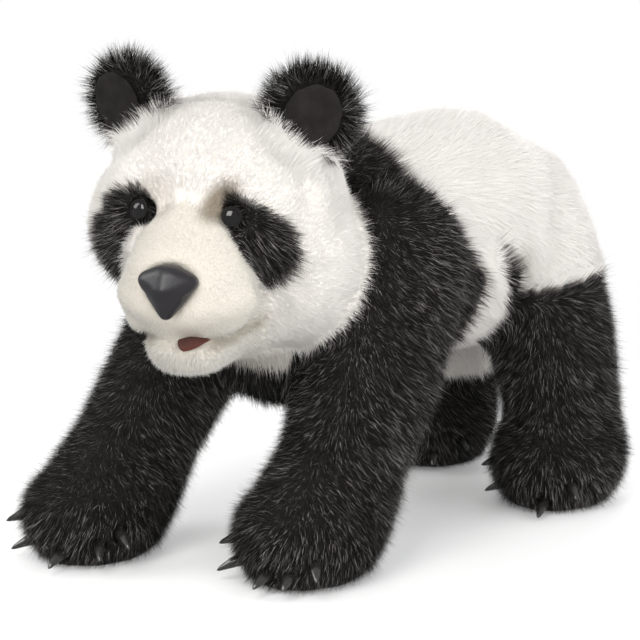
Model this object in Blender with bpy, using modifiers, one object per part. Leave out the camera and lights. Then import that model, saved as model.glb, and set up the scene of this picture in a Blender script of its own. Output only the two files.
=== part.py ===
"""A plush toy panda that stands on all fours and looks to its left.

Frame: metres, +Z up. The panda faces -Y, so its own left side is +X. The drafting origin is on
the floor under the middle of the shoulders and hips; at the end everything hangs from an empty
that brings the middle of the whole toy's box over the world's origin. The surfaces stand for the
tips of the pile. Sizes are in millimetres and MM turns them into metres.
"""

import math

import bmesh
import bpy
from mathutils import Euler, Matrix, Vector

MM = 0.001

# --- Driving sizes -----------------------------------------------------------------------------

SEAM_GAP = 0.35           # between two pieces that touch
BODY_VOXEL = 2.6          # cell of the blended trunk and legs
HEAD_VOXEL = 2.0          # cell of the blended head
BODY_ROUNDS = 12          # of smoothing
HEAD_ROUNDS = 10
BODY_TRIANGLES = 1700
HEAD_TRIANGLES = 1100

HEAD_CENTRE = (0, -68, 173)
HEAD_YAW = 27             # degrees, towards the toy's left
HEAD_PITCH = 6            # degrees, looking down
HEAD_ROLL = 2

# Places in the head's own frame: sideways, back, up from its centre. Left of a pair.
EYE_PLACE = (26, -58, 20.5)
EYE_RADIUS = 5.6
EYE_SINK = 2.4            # the eye's centre below the surface of the pile
EAR_PLACE = (47, -7, 62)
EAR_TURN = (4, 24, 20)    # tipped back, leant outwards and turned outwards, in degrees
EAR_RADII = (27, 12, 26)
EAR_DISH = ((0, -15, 0), (18, 9, 21))
EAR_LINING_FRONT = -9.6   # flat face of the lining, in the ear's frame
MOUTH_PLACE = (0, -58, -38)
MOUTH_TILT = 6            # degrees, the front of the mouth lower than its corners
JAW_BACK = 21             # the jaw's back face, behind the middle of the mouth
MOUTH_SLOT = ((6, 0, 0), (10, 31, 2.6))        # in the mouth's own frame, open more on the left
MOUTH_LINING = ((6, 4, 0), (9.3, 24.4, 2.1))
NOSE_LUMPS = (
    ((10, -80, -5.5), (3.9, 5.5, 4)),
    ((-10, -80, -5.5), (3.9, 5.5, 4)),
    ((0, -80, -2), (7.5, 7, 4.5)),
    ((0, -85, -9.5), (6, 6, 6)),
    ((0, -82.5, -20), (3.4, 5.5, 3.6)),
)
NECK_BACK = -8            # the neck ends here, between the shoulders
TAIL_REGION = ((0, 214, 142), (21, 19, 36))

CLAW_LENGTH = 21
CLAW_RADIUS = 3.4
CLAW_DROP = 6             # how far the tip hangs below the root
CLAW_TAPER = 0.4
CLAW_FANS = {             # degrees round the paw's front, root's height, length out of the pile
    "leg_front_left": ((-60, 19, 10), (-33, 12, 9), (9, 12, 7), (28, 13, 7), (48, 18, 9)),
    "leg_front_right": ((-57, 20, 13), (-33, 11, 8), (18, 11, 8), (51, 15, 7), (71, 20, 8)),
    "leg_hind_left": ((-73, 20, 10), (-50, 10, 6), (24, 8, 9), (50, 19, 7), (72, 20, 5)),
    "leg_hind_right": ((-70, 20, 9), (-40, 11, 6), (0, 9, 8), (38, 13, 7), (70, 20, 5)),
}
LEG_MARGIN = 6            # how far a leg's cutter stands off the leg
HIP_SHIFT = 12            # how far outwards a leg's cutter starts from the buried joint
MIDDLE_STRIP = 12         # half the strip of trunk left between a left and a right leg

# A limb is a chain of rounded joints, each (outwards, back, up) from the drafting origin and the
# joint's radii. The first joint is buried in the trunk and the last is the paw.
LEG_JOINTS = {
    "leg_front_left": (
        ((44, 8, 148), (40, 44, 48)),
        ((52, -17, 96), (37, 40, 40)),
        ((53, -41, 52), (34, 37, 34)),
        ((51, -60, 24), (37, 45, 32)),
    ),
    "leg_front_right": (
        ((42, -8, 144), (40, 44, 46)),
        ((51, -54, 96), (35, 38, 38)),
        ((54, -86, 52), (33, 36, 33)),
        ((54, -110, 24), (36, 44, 32)),
    ),
    "leg_hind_left": (
        ((34, 136, 140), (36, 44, 48)),
        ((49, 138, 92), (36, 41, 40)),
        ((56, 140, 50), (33, 40, 34)),
        ((59, 133, 24), (37, 45, 32)),
    ),
    "leg_hind_right": (
        ((34, 140, 140), (36, 44, 48)),
        ((46, 158, 92), (34, 42, 40)),
        ((48, 160, 50), (31, 38, 34)),
        ((48, 152, 24), (34, 42, 32)),
    ),
}

TRUNK_LENGTHS = (
    (((0, 24, 152), (60, 56, 64)), ((0, 104, 152), (66, 60, 70))),    # barrel
    (((0, 104, 150), (64, 60, 68)), ((0, 152, 142), (59, 52, 60))),   # rump
    (((0, 6, 146), (54, 44, 60)), ((0, -44, 146), (48, 40, 52))),     # neck
    (((0, 0, 118), (50, 44, 46)), ((0, -32, 115), (44, 38, 42))),     # chest
)
TAIL_LENGTH = (((0, 198, 152), (15, 14, 15)), ((0, 208, 132), (13, 10, 15)))

# Rounded lumps of the head in its own frame: (sideways, back, up), radii.
HEAD_LUMPS = (
    ((0, 2, 8), (64, 60, 61)),        # cranium
    ((0, -14, 26), (48, 42, 40)),     # forehead
    ((0, -54, -19), (36, 29, 18)),    # upper lip
    ((27, -30, 22), (25, 25, 26)),    # left brow
    ((-27, -30, 22), (25, 25, 26)),   # right brow
    ((36, 8, -20), (37, 44, 43)),     # left cheek, brushed fuller than the right
    ((-37, 6, -1), (38, 44, 41)),     # right cheek
    ((7, -10, -38), (38, 38, 26)),    # throat
)
HEAD_LENGTHS = (
    (((0, -34, 18), (21, 24, 20)), ((0, -52, -10), (32, 31, 23))),    # bridge
    (((0, -26, -42), (30, 24, 20)), ((0, -56, -47), (22, 19, 13))),   # chin
)


# --- Scene, finishes and small helpers ---------------------------------------------------------

def clear_scene():
    """Removes whatever the scene holds."""
    for obj in list(bpy.data.objects):
        bpy.data.objects.remove(obj, do_unlink=True)


def collection(name):
    """A new collection in the scene."""
    made = bpy.data.collections.new(name)
    bpy.context.scene.collection.children.link(made)
    return made


clear_scene()
TOY = collection("plush_panda")
CUTTERS = collection("cutters")


def finish(name, colour, roughness):
    """A plain Principled finish."""
    made = bpy.data.materials.new(name)
    made.use_nodes = True
    shader = made.node_tree.nodes["Principled BSDF"]
    shader.inputs["Base Color"].default_value = (*colour, 1.0)
    shader.inputs["Roughness"].default_value = roughness
    shader.inputs["Metallic"].default_value = 0.0
    return made


def white_pile(node):
    """Off-white plush."""
    return finish("white_pile_" + node, (0.86, 0.83, 0.79), 0.9)


def black_pile(node):
    """Black plush."""
    return finish("black_pile_" + node, (0.020, 0.018, 0.017), 0.7)


def black_plastic(node):
    """Glossy black plastic."""
    return finish("black_plastic_" + node, (0.025, 0.024, 0.026), 0.25)


def red_cloth(node):
    """The brick-red lining of the mouth."""
    return finish("red_cloth_" + node, (0.30, 0.09, 0.07), 0.9)


def turned(angles):
    """A rotation matrix from angles in degrees about X, then Y, then Z."""
    return Euler([math.radians(a) for a in angles]).to_matrix().to_4x4()


def spot(centre):
    """The matrix that moves a shape to a point in mm."""
    return Matrix.Translation(Vector(centre) * MM)


def place(centre, size):
    """The matrix that scales a unit shape to size and moves it to centre, both in mm."""
    return spot(centre) @ Matrix.Diagonal((*(s * MM for s in size), 1))


def head_frame():
    """The head's own frame: its centre, turned by its yaw, pitch and roll."""
    yaw = Matrix.Rotation(math.radians(HEAD_YAW), 4, "Z")
    pitch = Matrix.Rotation(math.radians(HEAD_PITCH), 4, "X")
    roll = Matrix.Rotation(math.radians(HEAD_ROLL), 4, "Y")
    return spot(HEAD_CENTRE) @ yaw @ pitch @ roll


HEAD = head_frame()
SIDES = {"left": 1, "right": -1}


def mirrored(point, sign):
    """A point on the left, taken to the side that sign names."""
    return (sign * point[0], point[1], point[2])


def new_object(name, shape, where):
    """Turns a bmesh into a smooth-shaded object."""
    bmesh.ops.recalc_face_normals(shape, faces=shape.faces)
    mesh = bpy.data.meshes.new(name)
    shape.to_mesh(mesh)
    shape.free()
    mesh.shade_smooth()
    obj = bpy.data.objects.new(name, mesh)
    where.objects.link(obj)
    return obj


def bake(obj):
    """Replaces the object's mesh by what its modifiers make of it."""
    graph = bpy.context.evaluated_depsgraph_get()
    mesh = bpy.data.meshes.new_from_object(obj.evaluated_get(graph))
    obj.modifiers.clear()
    obj.data = mesh
    return obj


def guide(obj):
    """Marks an object as a cutter, which isn't part of the toy."""
    obj.hide_render = True
    obj.display_type = "WIRE"
    return obj


def combine(obj, other, operation):
    """Applies an exact boolean of obj with other."""
    step = obj.modifiers.new(operation.lower(), "BOOLEAN")
    step.operation = operation
    step.solver = "EXACT"
    step.object = other
    return bake(obj)


def copy_of(obj, name, where, grown=0.0):
    """A copy of an object, its surface moved out by grown millimetres."""
    twin = bpy.data.objects.new(name, obj.data.copy())
    where.objects.link(twin)
    if grown:
        step = twin.modifiers.new("grow", "DISPLACE")
        step.strength = grown * MM
        step.mid_level = 0.0
        bake(twin)
    return twin


# --- Rounded building shapes -------------------------------------------------------------------

def ball(shape, centre, radii, frame=Matrix(), segments=16):
    """Adds an ellipsoid to a bmesh."""
    bmesh.ops.create_uvsphere(
        shape,
        u_segments=segments,
        v_segments=segments // 2,
        radius=1.0,
        matrix=frame @ place(centre, radii),
    )


def wrap(shape):
    """Turns what a bmesh holds into its convex hull."""
    bmesh.ops.delete(shape, geom=shape.edges, context="EDGES_FACES")
    bmesh.ops.convex_hull(shape, input=shape.verts)
    loose = [vert for vert in shape.verts if not vert.link_faces]
    bmesh.ops.delete(shape, geom=loose, context="VERTS")


def limb(shape, start, end, frame=Matrix(), grown=0.0, segments=20):
    """Adds the hull of two ellipsoids, each a (centre, radii) pair."""
    part = bmesh.new()
    for centre, radii in (start, end):
        ball(part, centre, [r + grown for r in radii], frame=frame, segments=segments)
    wrap(part)
    mesh = bpy.data.meshes.new("limb")
    part.to_mesh(mesh)
    part.free()
    shape.from_mesh(mesh)
    bpy.data.meshes.remove(mesh)


def blended(name, shape, voxel, rounds, triangles):
    """One smooth closed form from the overlapping lumps in a bmesh."""
    obj = new_object(name, shape, CUTTERS)
    remesh = obj.modifiers.new("blend", "REMESH")
    remesh.mode = "VOXEL"
    remesh.voxel_size = voxel * MM
    smooth = obj.modifiers.new("soften", "SMOOTH")
    smooth.factor = 0.6
    smooth.iterations = rounds
    bake(obj)
    count = sum(len(face.vertices) - 2 for face in obj.data.polygons)
    thin = obj.modifiers.new("thin", "DECIMATE")
    thin.ratio = triangles / count
    return bake(obj)


def leg_joints(name):
    """The joints of a leg on its own side."""
    sign = SIDES[name.split("_")[-1]]
    return [(mirrored(centre, sign), radii) for centre, radii in LEG_JOINTS[name]]


def body_form():
    """The trunk, neck, tail and legs as one soft form, its soles cut flat at the floor."""
    shape = bmesh.new()
    for start, end in TRUNK_LENGTHS:
        limb(shape, start, end)
    limb(shape, *TAIL_LENGTH)
    for name in LEG_JOINTS:
        joints = leg_joints(name)
        for start, end in zip(joints, joints[1:]):
            limb(shape, start, end)
    body = blended("body_form", shape, BODY_VOXEL, BODY_ROUNDS, BODY_TRIANGLES)
    return combine(body, floor_block(), "DIFFERENCE")


def floor_block():
    """A block whose top is the floor."""
    shape = bmesh.new()
    size = 1000
    bmesh.ops.create_cube(shape, size=1.0, matrix=place((0, 0, -size / 2), (size,) * 3))
    return guide(new_object("floor_block", shape, CUTTERS))


def head_form():
    """The head with its muzzle and chin as one soft form."""
    shape = bmesh.new()
    for centre, radii in HEAD_LUMPS:
        ball(shape, centre, radii, frame=HEAD, segments=32)
    for start, end in HEAD_LENGTHS:
        limb(shape, start, end, frame=HEAD)
    return blended("head_form", shape, HEAD_VOXEL, HEAD_ROUNDS, HEAD_TRIANGLES)


def leg_region(name, grown):
    """What belongs to a leg: its chain, a little fatter than the leg, clear of the other side."""
    (hip, hip_radii), *lower = leg_joints(name)
    sign = SIDES[name.split("_")[-1]]
    reach = [r + LEG_MARGIN for r in hip_radii]
    reach[0] = abs(hip[0]) + HIP_SHIFT - MIDDLE_STRIP
    joints = [((hip[0] + sign * HIP_SHIFT, hip[1], hip[2]), reach)]
    joints += [(centre, [r + LEG_MARGIN for r in radii]) for centre, radii in lower]
    region = None
    for start, end in zip(joints, joints[1:]):
        shape = bmesh.new()
        limb(shape, start, end, grown=grown, segments=12)
        length = guide(new_object("region_" + name, shape, CUTTERS))
        region = combine(region, length, "UNION") if region else length
    return region


# --- The toy's pieces --------------------------------------------------------------------------

def keep(obj, name, coat):
    """Moves a finished form into the toy under its node's name."""
    obj.name = name
    obj.data.name = name
    obj.hide_render = False
    obj.display_type = "TEXTURED"
    obj.data.materials.clear()
    obj.data.materials.append(coat(name))
    for holder in list(obj.users_collection):
        holder.objects.unlink(obj)
    TOY.objects.link(obj)
    return obj


def cut_away(obj, other, gap=SEAM_GAP):
    """Takes other, grown by a gap, out of obj."""
    grown = guide(copy_of(other, "gap_" + other.name, CUTTERS, gap))
    return combine(obj, grown, "DIFFERENCE")


def box(name, low, high, frame=Matrix()):
    """A block between two corners of a frame, as a cutter."""
    middle = [(a + b) / 2 for a, b in zip(low, high)]
    size = [b - a for a, b in zip(low, high)]
    shape = bmesh.new()
    bmesh.ops.create_cube(shape, size=1.0, matrix=frame @ place(middle, size))
    return guide(new_object(name, shape, CUTTERS))


def claw_shape(matrix, grown=0.0):
    """A curved tapered claw along the matrix's -Y axis, its root at the matrix's origin."""
    shape = bmesh.new()
    bmesh.ops.create_uvsphere(shape, u_segments=6, v_segments=5, radius=1.0)
    half = CLAW_LENGTH / 2
    for vert in shape.verts:
        along = vert.co.z
        width = (CLAW_RADIUS + grown) * (1 - CLAW_TAPER * along)
        drop = -CLAW_DROP * ((along + 1) / 2) ** 2
        out = half + along * (half + grown)
        vert.co = Vector((vert.co.x * width, -out, drop + vert.co.y * width)) * MM
    bmesh.ops.transform(shape, matrix=matrix, verts=shape.verts)
    return shape


def shape_object(name, maker):
    """A cutter made by maker(bmesh)."""
    shape = bmesh.new()
    maker(shape)
    return guide(new_object(name, shape, CUTTERS))


def make_legs(body):
    """Parts the four legs from the body and returns what is left of it."""
    rest = copy_of(body, "rest", CUTTERS)
    legs = {}
    for name in LEG_JOINTS:
        legs[name] = combine(copy_of(body, name, CUTTERS), leg_region(name, 0.0), "INTERSECT")
        rest = combine(rest, leg_region(name, SEAM_GAP), "DIFFERENCE")
    return legs, rest


def make_trunk(rest):
    """Parts the rest of the body into the neck, the trunk and the tail."""
    reach = 200
    front = box("neck_region", (-reach, -reach, -1), (reach, NECK_BACK, 2 * reach))
    tail_ball = shape_object("tail_region", lambda shape: ball(shape, *TAIL_REGION))
    neck = combine(copy_of(rest, "neck", CUTTERS), front, "INTERSECT")
    tail = combine(copy_of(rest, "tail", CUTTERS), tail_ball, "INTERSECT")
    trunk = cut_away(rest, front)
    trunk = cut_away(trunk, tail_ball)
    return neck, trunk, tail


def make_ear(side, head):
    """An ear, dished in front, and the short-napped lining in its dish."""
    sign = SIDES[side]
    tip, lean, yaw = EAR_TURN
    frame = HEAD @ spot(mirrored(EAR_PLACE, sign)) @ turned((tip, sign * lean, sign * yaw))
    disc = shape_object("disc", lambda shape: ball(shape, (0, 0, 0), EAR_RADII, frame=frame))
    centre, radii = EAR_DISH
    dish = shape_object("dish", lambda shape: ball(shape, centre, radii, frame=frame))
    lining = shape_object(
        "lining",
        lambda shape: ball(shape, centre, [r - SEAM_GAP for r in radii], frame=frame),
    )
    behind = box("behind", (-60, EAR_LINING_FRONT, -60), (60, 60, 60), frame)
    ear = cut_away(combine(disc, dish, "DIFFERENCE"), head)
    lining = cut_away(combine(lining, behind, "INTERSECT"), head)
    keep(ear, "ear_" + side, black_pile)
    keep(lining, "ear_lining_" + side, black_pile)


def make_nose():
    """The moulded nose: a rounded three-cornered pad."""

    def fill(shape):
        for centre, radii in NOSE_LUMPS:
            ball(shape, centre, radii, frame=HEAD, segments=10)
        wrap(shape)

    return shape_object("nose", fill)


def make_eye(sign, head):
    """A glass-smooth bead set into the face."""
    out = Vector(mirrored(EYE_PLACE, sign)).normalized()
    start = HEAD @ (out * 2 * abs(EYE_PLACE[1]) * MM)
    surface = head.ray_cast(start, (HEAD.translation - start).normalized())[1]
    centre = (HEAD.inverted() @ surface) / MM - out * EYE_SINK
    radii = (EYE_RADIUS,) * 3
    return shape_object("eye", lambda shape: ball(shape, centre, radii, frame=HEAD, segments=12))


def make_head(head):
    """Cuts the eyes, nose and mouth into the head and parts the lower jaw from it."""
    nose = make_nose()
    eyes = {side: make_eye(sign, head) for side, sign in SIDES.items()}
    mouth = HEAD @ spot(MOUTH_PLACE) @ turned((MOUTH_TILT, 0, 0))
    slot = shape_object("slot", lambda shape: ball(shape, *MOUTH_SLOT, frame=mouth))
    lining = shape_object("mouth_lining", lambda shape: ball(shape, *MOUTH_LINING, frame=mouth))
    reach = 120
    below = box("jaw_region", (-reach, -reach, -reach), (reach, JAW_BACK, 0), mouth)
    hollow = combine(copy_of(head, "head", CUTTERS), slot, "DIFFERENCE")
    jaw = combine(copy_of(hollow, "lower_jaw", CUTTERS), below, "INTERSECT")
    hollow = cut_away(hollow, below)
    for piece in (nose, *eyes.values()):
        hollow = cut_away(hollow, piece)
    keep(hollow, "head", white_pile)
    keep(jaw, "lower_jaw", white_pile)
    keep(lining, "mouth_lining", red_cloth)
    keep(nose, "nose", black_plastic)
    for side, eye in eyes.items():
        keep(eye, "eye_" + side, black_plastic)


def claw_frame(paw_centre, paw_radii, angle, height, shown):
    """A claw's frame: its root inside the paw, -Y pointing out at the fan's angle."""
    turn = math.radians(angle)
    out = Vector((math.sin(turn), -math.cos(turn), 0))
    drop = (paw_centre[2] - height) / paw_radii[2]
    girth = math.sqrt(1 - drop ** 2)
    surface = girth / math.hypot(out.x / paw_radii[0], out.y / paw_radii[1])
    root = Vector(paw_centre) + out * (surface + shown - CLAW_LENGTH)
    root.z = height
    return spot(root) @ turned((0, 0, angle))


def make_claws(name, leg):
    """The five claws of a paw, each in a pocket of the leg."""
    centre, radii = leg_joints(name)[-1]
    for number, (angle, height, shown) in enumerate(CLAW_FANS[name], start=1):
        frame = claw_frame(centre, radii, angle, height, shown)
        claw_name = name.replace("leg", "claw") + f"_{number}"
        claw = new_object(claw_name, claw_shape(frame), CUTTERS)
        pocket = guide(new_object("pocket", claw_shape(frame, SEAM_GAP), CUTTERS))
        leg = combine(leg, pocket, "DIFFERENCE")
        keep(claw, claw_name, black_plastic)
    return leg


def centre_on_floor():
    """Hangs every piece from an empty that puts the middle of the toy's box over the origin."""
    corners = [obj.matrix_world @ Vector(c) for obj in TOY.objects for c in obj.bound_box]
    middle = [(min(c[i] for c in corners) + max(c[i] for c in corners)) / 2 for i in range(2)]
    root = bpy.data.objects.new("toy_root", None)
    root.location = (-middle[0], -middle[1], 0)
    TOY.objects.link(root)
    for obj in TOY.objects:
        if obj is not root:
            obj.parent = root


def build():
    """Makes the whole toy."""
    body = body_form()
    head = head_form()
    legs, rest = make_legs(body)
    neck, trunk, tail = make_trunk(rest)
    keep(cut_away(neck, head), "neck", black_pile)
    keep(cut_away(trunk, head), "trunk", white_pile)
    keep(tail, "tail", white_pile)
    for name, leg in legs.items():
        keep(make_claws(name, cut_away(leg, head)), name, black_pile)
    for side in SIDES:
        make_ear(side, head)
    make_head(head)
    guide(body)
    guide(head)
    centre_on_floor()


build()
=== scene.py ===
"""Looks of a long-pile plush panda toy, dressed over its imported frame.

One sewn skin stands for every node of flesh. A coat of mesh pile grows from it, and the hard
trim (eyes, nose, claws) and the cloth linings are pieces of their own. Sizes are in millimetres
and angles in degrees, in the frame's own axes: the toy faces -Y, its left is +X, up is +Z.
"""

from __future__ import annotations

import logging
import math
from dataclasses import dataclass, field, fields
from enum import Enum, IntEnum
from typing import Any, Mapping, Sequence

import bmesh
import bpy
import numpy as np
from mathutils import Matrix, Vector
from mathutils.bvhtree import BVHTree
from mathutils.kdtree import KDTree

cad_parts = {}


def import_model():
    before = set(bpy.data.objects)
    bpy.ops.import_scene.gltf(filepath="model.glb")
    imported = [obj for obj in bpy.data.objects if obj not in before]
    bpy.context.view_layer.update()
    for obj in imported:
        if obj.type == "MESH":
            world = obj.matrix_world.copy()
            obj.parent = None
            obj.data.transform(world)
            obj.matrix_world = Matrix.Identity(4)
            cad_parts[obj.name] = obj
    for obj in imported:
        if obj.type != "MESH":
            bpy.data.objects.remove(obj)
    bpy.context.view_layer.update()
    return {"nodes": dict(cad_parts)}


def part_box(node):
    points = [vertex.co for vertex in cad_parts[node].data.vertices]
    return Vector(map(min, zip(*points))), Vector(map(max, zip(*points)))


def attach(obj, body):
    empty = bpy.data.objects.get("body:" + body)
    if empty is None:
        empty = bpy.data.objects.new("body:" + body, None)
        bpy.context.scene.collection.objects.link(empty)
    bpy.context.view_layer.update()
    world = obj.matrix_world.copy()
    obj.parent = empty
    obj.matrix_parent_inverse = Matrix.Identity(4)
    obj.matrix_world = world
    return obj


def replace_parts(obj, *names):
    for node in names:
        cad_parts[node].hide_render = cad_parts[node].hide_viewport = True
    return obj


LOG = logging.getLogger("plush_panda")
MM = 0.001
SIDES = {"left": 1.0, "right": -1.0}
BAKE_MAP = "OFBake"

Array = np.ndarray
Item = bpy.types.Object
Nodes = Mapping[str, Item]
Values = Mapping[Any, Any] | None
Row = tuple[float, ...]
Pair = tuple[float, float]
Triple = tuple[float, float, float]
Colour = Triple


class Flesh(IntEnum):
    """The frame's soft nodes, which one skin covers."""

    HEAD, LOWER_JAW, NECK, TRUNK, TAIL, EAR_LEFT, EAR_RIGHT = range(7)
    LEG_FRONT_LEFT, LEG_FRONT_RIGHT, LEG_HIND_LEFT, LEG_HIND_RIGHT = range(7, 11)


FLESH = [part.name.lower() for part in Flesh]
LEGS = [part for part in Flesh if part >= Flesh.LEG_FRONT_LEFT]


# ---------------------------------------- arithmetic on arrays


def unit(vectors: Array) -> Array:
    """Returns the vectors scaled to length one."""
    return vectors / np.maximum(np.linalg.norm(vectors, axis=-1, keepdims=True), 1e-12)


def apart(points: Array, place: Array) -> Array:
    """Returns how far each point is from a place."""
    return np.linalg.norm(points - place, axis=1)


def along(vectors: Array, normals: Array) -> Array:
    """Returns the vectors laid flat on a surface with these normals, at length one."""
    return unit(vectors - normals * np.sum(vectors * normals, axis=1, keepdims=True))


def blend(first: Array | Triple, second: Array | Triple, share: Array) -> Array:
    """Returns the first vectors with a share of the second."""
    return np.asarray(first) * (1 - share) + np.asarray(second) * share


def step(values: Array, start: float, end: float) -> Array:
    """Returns a smooth step of the values: 0 at the start, 1 at the end."""
    t = np.clip((values - start) / (end - start), 0.0, 1.0)
    return t * t * (3.0 - 2.0 * t)


def swirl(points: Array, wavelength: float, seed: int, waves: int = 9) -> Array:
    """Gives a smooth random vector field.

    Args:
        points: Where it is read.
        wavelength: The rough distance between two eddies.
        seed: Chooses the field.
        waves: How many waves it is the sum of.

    Returns:
        One vector per point, each part about -1 to 1.
    """
    rng = np.random.default_rng(seed)
    total = np.zeros_like(points)
    for _ in range(waves):
        wave = rng.normal(size=(3, 3)) * (2.0 * math.pi / wavelength) * 0.6
        total += np.sin(points @ wave + rng.uniform(0, 2 * math.pi, 3))
    return total / 3.0


# ---------------------------------------- surfaces


class Surface:
    """The triangulated surface of an object, held in arrays."""

    INWARD, OUTWARD = 0.55, -0.57

    def __init__(self, item: Item) -> None:
        """Reads the mesh of an object that stands at the origin."""
        mesh = item.data
        mesh.calc_loop_triangles()
        points = np.empty(len(mesh.vertices) * 3)
        mesh.vertices.foreach_get("co", points)
        faces = np.empty(len(mesh.loop_triangles) * 3, np.int64)
        mesh.loop_triangles.foreach_get("vertices", faces)
        self.item = item
        self.points = points.reshape(-1, 3) / MM
        self.faces = faces.reshape(-1, 3)
        pairs = np.vstack([self.faces[:, [0, 1]], self.faces[:, [1, 2]], self.faces[:, [2, 0]]])
        self.edges = np.unique(np.sort(pairs, axis=1), axis=0)
        self.valence = np.maximum(np.bincount(self.edges.ravel(), minlength=len(self.points)), 1)

    def _crosses(self) -> Array:
        """Returns each triangle's normal, twice as long as its area."""
        a, b, c = (self.points[self.faces[:, k]] for k in range(3))
        return np.cross(b - a, c - a)

    def areas(self) -> Array:
        """Returns each triangle's area."""
        return 0.5 * np.linalg.norm(self._crosses(), axis=1)

    def normals(self) -> Array:
        """Returns the outward normal at each corner."""
        crosses, total = self._crosses(), np.zeros_like(self.points)
        for k, axis in np.ndindex(3, 3):
            total[:, axis] += np.bincount(self.faces[:, k], crosses[:, axis], len(total))
        return unit(total)

    def relaxed(self, values: Array, rounds: int, amount: float = 0.5) -> Array:
        """Evens values out over the surface.

        Args:
            values: One row or number per corner.
            rounds: How often each corner moves towards its neighbours' mean.
            amount: How far it moves each time.

        Returns:
            The evened values.
        """
        flat = values.reshape(len(values), -1).astype(float)
        left, right = self.edges.T
        for _ in range(rounds):
            for held in flat.T:
                total = np.bincount(left, held[right], len(held))
                total += np.bincount(right, held[left], len(held))
                held += amount * (total / self.valence - held)
        return flat.reshape(values.shape)

    def smooth(self, rounds: int) -> None:
        """Takes facets off without shrinking, by pairs of an inward and an outward pass."""
        for amount in (self.INWARD, self.OUTWARD) * rounds:
            self.points = self.relaxed(self.points, 1, amount)

    def stretch(self, factors: Array) -> None:
        """Scales the surface about its middle."""
        middle = self.points.mean(axis=0)
        self.points = middle + (self.points - middle) * factors

    def soften(self, rounds: int) -> None:
        """Rounds the surface off, then stretches it back to its former size."""
        span = np.ptp(self.points, axis=0)
        self.points = self.relaxed(self.points, rounds)
        self.stretch(span / np.ptp(self.points, axis=0))

    def write(self) -> Item:
        """Moves the object's corners to this surface's points, and returns the object."""
        self.item.data.vertices.foreach_set("co", (self.points * MM).ravel())
        self.item.data.update()
        return self.item


def add_object(name: str, mesh: bpy.types.Mesh) -> Item:
    """Puts a mesh in the scene under a name, and returns its object."""
    mesh.name = name
    item = bpy.data.objects.new(name, mesh)
    bpy.context.scene.collection.objects.link(item)
    return item


def add_shape(name: str, shape: bmesh.types.BMesh) -> Item:
    """Puts a shape in the scene under a name, frees it and returns its object."""
    mesh = bpy.data.meshes.new(name)
    shape.to_mesh(mesh)
    shape.free()
    return add_object(name, mesh)


def welded_copy(node: Item, grow: float) -> bmesh.types.BMesh:
    """Copies a frame node's mesh with its split corners joined.

    Args:
        node: The node.
        grow: How far each corner is pushed outwards, in metres.

    Returns:
        The copy, which the caller frees.
    """
    copy = bmesh.new()
    copy.from_mesh(node.data)
    bmesh.ops.remove_doubles(copy, verts=copy.verts, dist=1e-6)
    bmesh.ops.recalc_face_normals(copy, faces=copy.faces)
    copy.normal_update()
    for vertex in copy.verts:
        vertex.co += vertex.normal * grow
    return copy


def remeshed(item: Item, voxel: float, name: str) -> Item:
    """Turns closed bodies into one even skin.

    Args:
        item: The object that holds them, which is removed.
        voxel: The width of a face.
        name: The new object's name.

    Returns:
        The new object.
    """
    modifier = item.modifiers.new("voxels", "REMESH")
    modifier.mode = "VOXEL"
    modifier.voxel_size = voxel * MM
    modifier.use_smooth_shade = True
    graph = bpy.context.evaluated_depsgraph_get()
    mesh = bpy.data.meshes.new_from_object(item.evaluated_get(graph))
    bpy.data.objects.remove(item)
    return add_object(name, mesh)


def refined(node: Item, name: str, voxel: float, rounds: int, grow: float = 0.0) -> Surface:
    """Makes a finely meshed copy of a frame node, without its facets.

    Args:
        node: The node.
        name: The copy's name.
        voxel: The width of a face.
        rounds: How much it is smoothed.
        grow: How far it stands out from the node, in metres.

    Returns:
        The copy's surface.
    """
    surface = Surface(remeshed(add_shape(f"{name}_rough", welded_copy(node, grow)), voxel, name))
    surface.smooth(rounds)
    return Surface(surface.write())


# ---------------------------------------- shader graphs


class Wire:
    """A shader value that adds its Math nodes as it is calculated with."""

    def __init__(self, graph: Graph, socket: bpy.types.NodeSocket) -> None:
        """Wraps an output socket of a graph."""
        self.graph = graph
        self.socket = socket

    def _math(self, operation: str, *values: Wire | float, clamp: bool = False) -> Wire:
        """Adds one Math node and returns its result."""
        settings = {"operation": operation, "use_clamp": clamp}
        return self.graph.node("ShaderNodeMath", settings, dict(enumerate(values)))

    def __add__(self, other: Wire | float) -> Wire:
        """Returns self + other."""
        return self._math("ADD", self, other)

    def __sub__(self, other: Wire | float) -> Wire:
        """Returns self - other."""
        return self._math("SUBTRACT", self, other)

    def __rsub__(self, other: float) -> Wire:
        """Returns other - self."""
        return self._math("SUBTRACT", other, self)

    def __mul__(self, other: Wire | float) -> Wire:
        """Returns self * other."""
        return self._math("MULTIPLY", self, other)

    def __pow__(self, other: float) -> Wire:
        """Returns self to the power of other."""
        return self._math("POWER", self, other)

    def clamped(self) -> Wire:
        """Returns the value held between 0 and 1."""
        return self._math("ADD", self, 0.0, clamp=True)

    __radd__ = __add__
    __rmul__ = __mul__


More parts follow.
